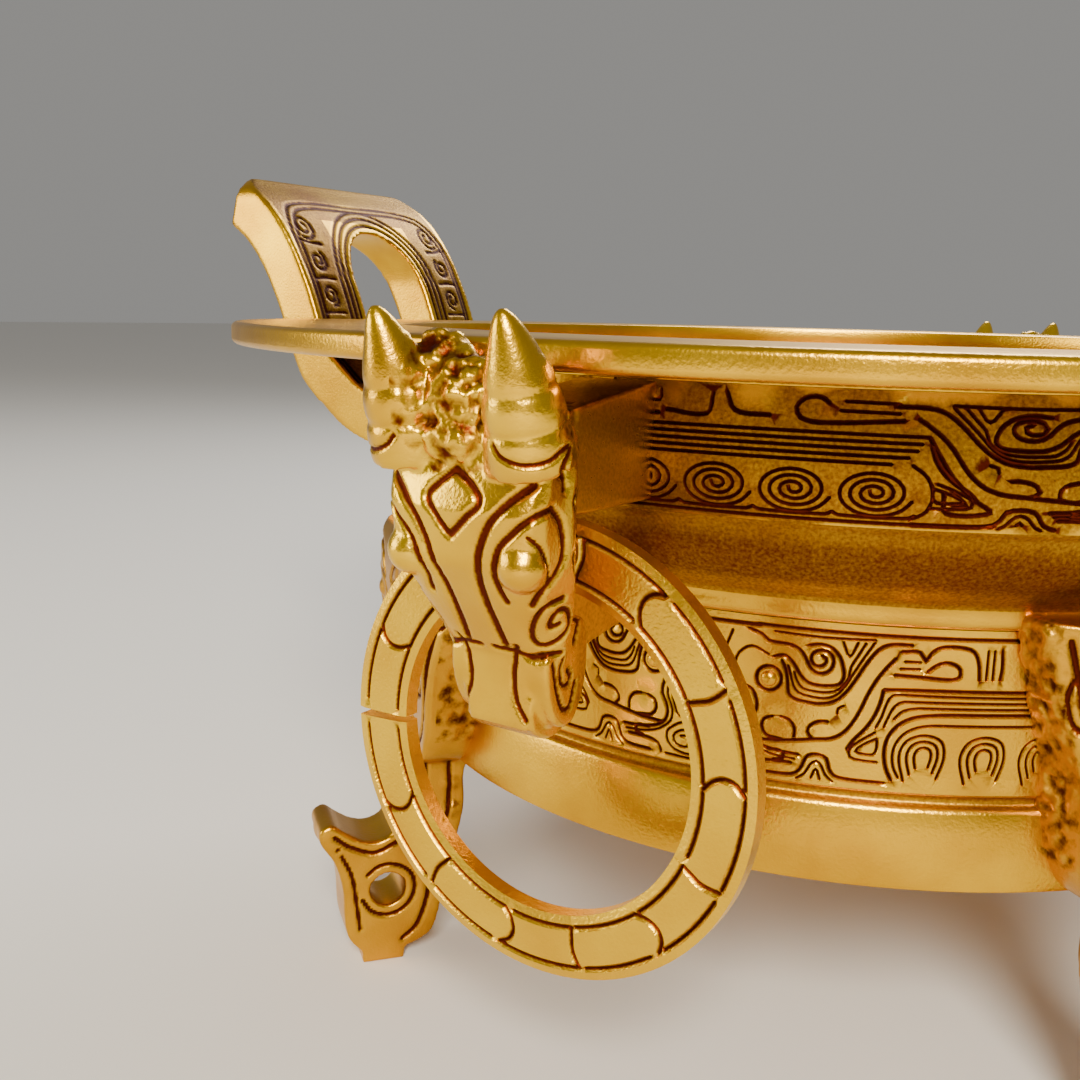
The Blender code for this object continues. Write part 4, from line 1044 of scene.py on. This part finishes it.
bosses += [egg((102.8, sign * 6.6, 88.4), (2.6, 2.4, 2.6), 16) for sign in (1, -1)]
bosses += [egg((93.2, sign * 7.0, z), (2.6, 1.7, 2.2), 16)
           for sign in (1, -1) for z in (50.0, 44.0)]
bosses.append(egg((117.7, 0.0, 39.2), (2.5, 6.0, 2.5), 20))
leg_mesh = remeshed(joined([leg_body] + bosses), 0.50)
print("leg skin:", len(leg_mesh.vertices), "points")

leg_marks = [
    ([(97.5, 22.6, 99.5), (99, 19.4, 87), (100, 16.8, 78), (100.4, 16.2, 71), (100.6, 14.8, 64),
      (101, 11.6, 60)], 0.75, 0.7),
    ([(98.4, 20.6, 97.6), (101.4, 16, 98.6), (103.8, 10.6, 98), (104.4, 5.6, 95.6),
      (104.4, 2.6, 92)], 0.8, 0.8),
    ([(98.4, 18.2 + 5.0 * math.cos(a), 90.4 + 4.9 * math.sin(a))
      for a in np.radians(range(0, 361, 45))], 0.65, 0.7),
    ([(103.6, 12.6, 92.4), (104, 11.8, 86.4), (103.6, 10.4, 81.2), (103, 7.4, 77.2)], 0.75, 0.75),
    ([(104, 6.6 + 4.0 * math.cos(a), 88.4 + 3.8 * math.sin(a))
      for a in np.radians(range(-60, 250, 40))], 0.6, 0.65),
    ([(102, 12.0 + r * math.cos(a), 73.0 + r * math.sin(a)) for a,
      r in zip(np.linspace(1.2, 10.4, 22), np.linspace(3.8, 0.9, 22))], 0.6, 0.65),
    ([(104.4, 2.4, 84), (103.4, 3.6, 79), (101.6, 5.4, 74), (101, 5, 69), (101, 6.8, 64.6),
      (101, 10.8, 62.4)], 0.7, 0.7),
    ([(101, 1.8, 72), (100.6, 3, 65), (100.4, 3.4, 58), (100.8, 3.4, 50), (102, 3, 42)], 0.6, 0.6),
    ([(98.8, 8, 56), (98.6, 8, 49), (100.2, 8, 42.6), (103.8, 7.4, 38.2), (108.6, 7, 35.6),
      (113.6, 7, 37.2), (116.8, 7, 39.6)], 0.7, 0.65),
    ([(93.8, 8, 56), (93.6, 8, 46), (94.8, 8, 39), (96.8, 7, 31), (97.6, 7, 24), (99.8, 7, 18),
      (102.8, 7, 15.4)], 0.7, 0.65),
    ([(HOLE[0] + 5.6 * math.cos(a), 6.4, HOLE[1] + 5.8 * math.sin(a))
      for a in np.radians(range(40, 341, 30))], 0.65, 0.65),
    ([(115.4, 6.4, 35.4), (113.4, 6.4, 31), (112.4, 6.4, 25), (111.6, 6.4, 18.6)], 0.6, 0.6)]
leg_lines = [([(r, sign * y, z) for r, y, z in line], half, deep)
             for sign in (1, -1) for line, half, deep in leg_marks]
leg_lines.append(([(116, -6.5, 37), (116.4, 0, 36.4), (116, 6.5, 37)], 0.6, 0.6))


def solder(points):
    """Lumpy beads down both edges of the mask, where it meets the foot's wall."""
    r, y, z = points.T
    edge = np.interp(z, (58, 64, 70, 78, 87, 99, 103), (14.8, 17.8, 18.4, 19.2, 21.8, 24.8, 25.2))
    near_edge = np.clip(1 - np.abs(np.abs(y) - edge) / 2.0, 0, 1)
    return near_edge * (z > 62) * np.clip((99.0 - r) / 4, 0, 1) * 0.45


def leg_wash(points, normals):
    # Painted shade: darker towards the bottom, and on faces turned to the basin's axis.
    low = np.clip((62 - points[:, 2]) / 40, 0, 1) * 0.10
    inner = np.clip(-normals[:, 0], 0, 1) * 0.20
    return low + inner


pressed(leg_mesh, leg_lines, leg_wash, solder)
corners = ("back_right", "back_left", "front_left", "front_right")
turns = {corner: 45 + LEG_TURN + 90 * index for index, corner in enumerate(corners)}
repeated(leg_mesh, "leg", turns, ("vessel",) * 4, gold_legs)

# %% [markdown]
# ## The ears
#
# A thick slab that curves out and up, with an arched hole. The inner face is
# engraved and darkened with painted shade, the narrow side is plain and bright.

# %% Ears
EAR_HALF, EAR_WIDE, EAR_SKEW, ARCH_HALF = 6.2, 33.5, 2.2, 14
ear_line = smooth(under_rim([(99.4, 28.8), (109.8, 26.2), (120.5, 22.6), (128.1, 17), (134, 11.2),
                             (138.2, 0), (141.2, -7), (146.6, -16.5), (153.2, -24.3),
                             (162, -30.5)]), step=1.2)
ear_upper, ear_lower = beside(ear_line, EAR_HALF), beside(ear_line, -EAR_HALF)
ear_end = ear_line[-1] - ear_line[-2]
skew = ear_end / np.linalg.norm(ear_end) * EAR_SKEW
ear_side = np.concatenate((ear_upper[:-1], [ear_upper[-1] + skew], [ear_lower[-1] - skew],
                           ear_lower[-4::-1]))
ear_top = max(p[1] for p in ear_side)
corner = [(EAR_WIDE - 7 + 7 * math.cos(a), ear_top - 7 + 7 * math.sin(a))
          for a in np.linspace(0, math.pi / 2, 8)]
ear_front = [(-31.5, 105), (31.5, 105), (EAR_WIDE, RIM_Z), *corner,
             *[(-y, z) for y, z in corner[::-1]], (-EAR_WIDE, RIM_Z)]
arch = [(-ARCH_HALF, RIM_Z - 16.5), (ARCH_HALF, RIM_Z - 16.5)]
arch += [(ARCH_HALF * math.cos(a), RIM_Z + 9.5 + ARCH_HALF * math.sin(a))
         for a in np.linspace(0, math.pi, 24)]
ear_body = carved(across_block(ear_side, 34), [
    (facing_block(ear_front, 90, 180), "INTERSECT"),
    (facing_block(arch, 90, 180), "DIFFERENCE"),
    (plan_block(circle((0, 0), SEAT, 120), 80, 150), "DIFFERENCE")])
ear_mesh = remeshed(ear_body, 0.66, smoothing=1)
print("ear skin:", len(ear_mesh.vertices), "points")


def on_ear(y, z, side):
    """A point on the ear's inner (-1) or outer (1) face at a height."""
    face_line = beside(ear_line, -EAR_HALF * side)
    order = np.argsort(face_line[:, 1])
    return (float(np.interp(z, face_line[order, 1], face_line[order, 0])), y, z)


ear_lines = []
for side in (-1, 1):
    for inset, deep in ((2.6, 0.55), (4.0, 0.45)):
        half = EAR_WIDE - inset
        left = [(-half, 126), (-half, 150), (-half + 0.6, 168 - inset), (-half + 6, 174.5 - inset)]
        border = [*left, (0, 175.4 - inset), *[(-y, z) for y, z in left[::-1]]]
        ear_lines.append(([on_ear(y, z, side) for y, z in border], 0.6, deep))
    for out, deep in ((2.2, 0.6), (4.2, 0.5), (6.0, 0.45)):
        reach = ARCH_HALF + out
        over = [(reach * math.cos(a), 151.5 + reach * math.sin(a))
                for a in np.radians((155, 130, 110, 90, 70, 50, 25))]
        ring = [(-reach, 130), (-reach, 151), *over, (reach, 151), (reach, 130)]
        ear_lines.append(([on_ear(y, z, side) for y, z in ring], 0.6, deep))
    for sign in (1, -1):
        curls = (spiral((25.6, 166), 0.8, 3.4, 90, 1.6), spiral((25.8, 157), 0.8, 2.8, 270, -1.4),
                 spiral((25.6, 148), 0.8, 2.8, 90, 1.5), spiral((25.4, 139.4), 0.8, 2.6, 270, -1.4),
                 [(22, 161.5), (26, 161.8), (29, 162.4)], [(22.2, 152.4), (26, 152.6), (29, 152.4)],
                 [(22.2, 143.6), (26, 143.8), (29, 143.6)])
        for curl in curls:
            ear_lines.append(([on_ear(sign * y, z, side) for y, z in curl], 0.55, 0.55))


def ear_wash(points, normals):
    """Painted shade on both broad faces, but not on their edges nor round the arch."""
    away = np.abs(points[:, 1])
    face = (np.abs(normals[:, 1]) < 0.4) & (away < 31.6) & (np.abs(normals[:, 2]) < 0.95)
    lip = (away < 16.4) & (points[:, 2] < 168)
    return face * 0.50 * ~lip


pressed(ear_mesh, ear_lines, ear_wash)
repeated(ear_mesh, "ear", {"right": 0, "left": 180}, ("vessel", "vessel"), gold_ears)

# %% [markdown]
# ## Floor, light and camera
#
# A plain pale floor and soft studio light. The camera stands where the photo's
# camera stood: close to the front head, a little above the rim.

# %% Floor
def stage_plane(name, corners, shade, rough):
    mesh = bpy.data.meshes.new(name)
    mesh.from_pydata(corners, [], [tuple(range(len(corners)))])
    obj = placed(name, mesh)
    material = bpy.data.materials.new(name)
    material.use_nodes = True
    shader = material.node_tree.nodes["Principled BSDF"]
    shader.inputs["Base Color"].default_value = colour(shade)
    shader.inputs["Roughness"].default_value = rough
    mesh.materials.append(material)


stage_plane("floor", [(-6, -6, 0), (6, -6, 0), (6, 6, 0), (-6, 6, 0)], "#ECE9E3", 0.75)

# %% Light
def soft_light(name, place, target, size, power, tone):
    light = bpy.data.lights.new(name, "AREA")
    light.shape, light.size, light.energy = "DISK", size, power
    light.color = colour(tone)[:3]
    obj = placed(name, light)
    obj.location = place
    obj.rotation_mode = "QUATERNION"
    obj.rotation_quaternion = (Vector(target) - Vector(place)).to_track_quat("-Z", "Y")


soft_light("key", (0.55, -0.95, 0.75), (0.0, -0.05, 0.09), 0.45, 25.0, "#FFF6E6")
soft_light("fill", (-0.95, -0.75, 0.35), (0.0, -0.05, 0.09), 0.6, 6.5, "#FFFAF0")
soft_light("back", (-0.2, 0.9, 0.8), (0.0, 0.0, 0.1), 0.5, 8.0, "#FFFFFF")
world = bpy.data.worlds.new("studio")
world.use_nodes = True
world.node_tree.nodes["Background"].inputs["Color"].default_value = colour("#DAD8D4")
world.node_tree.nodes["Background"].inputs["Strength"].default_value = 0.40
bpy.context.scene.world = world

# %% Camera
camera_data = bpy.data.cameras.new("camera")
camera_data.lens = 40.0
camera_data.sensor_width = 36.0
camera_data.clip_start = 0.01
camera = placed("camera", camera_data)
level = Vector((-0.559, 0.829, 0.0)).normalized()
across = Vector((level.y, -level.x, 0.0))
pitch, roll = math.radians(10.84), math.radians(1.47)
forward = level * math.cos(pitch) - Vector((0, 0, 1)) * math.sin(pitch)
upward = level * math.sin(pitch) + Vector((0, 0, 1)) * math.cos(pitch)
right = across * math.cos(roll) + upward * math.sin(roll)
top = upward * math.cos(roll) - across * math.sin(roll)
spot = Vector((CAMERA_ACROSS, -CAMERA_OUT, CAMERA_UP - LOWER)) * MM
facing = Matrix((right, top, -forward)).transposed().to_4x4()
camera.matrix_world = Matrix.Translation(spot) @ facing
bpy.context.scene.camera = camera
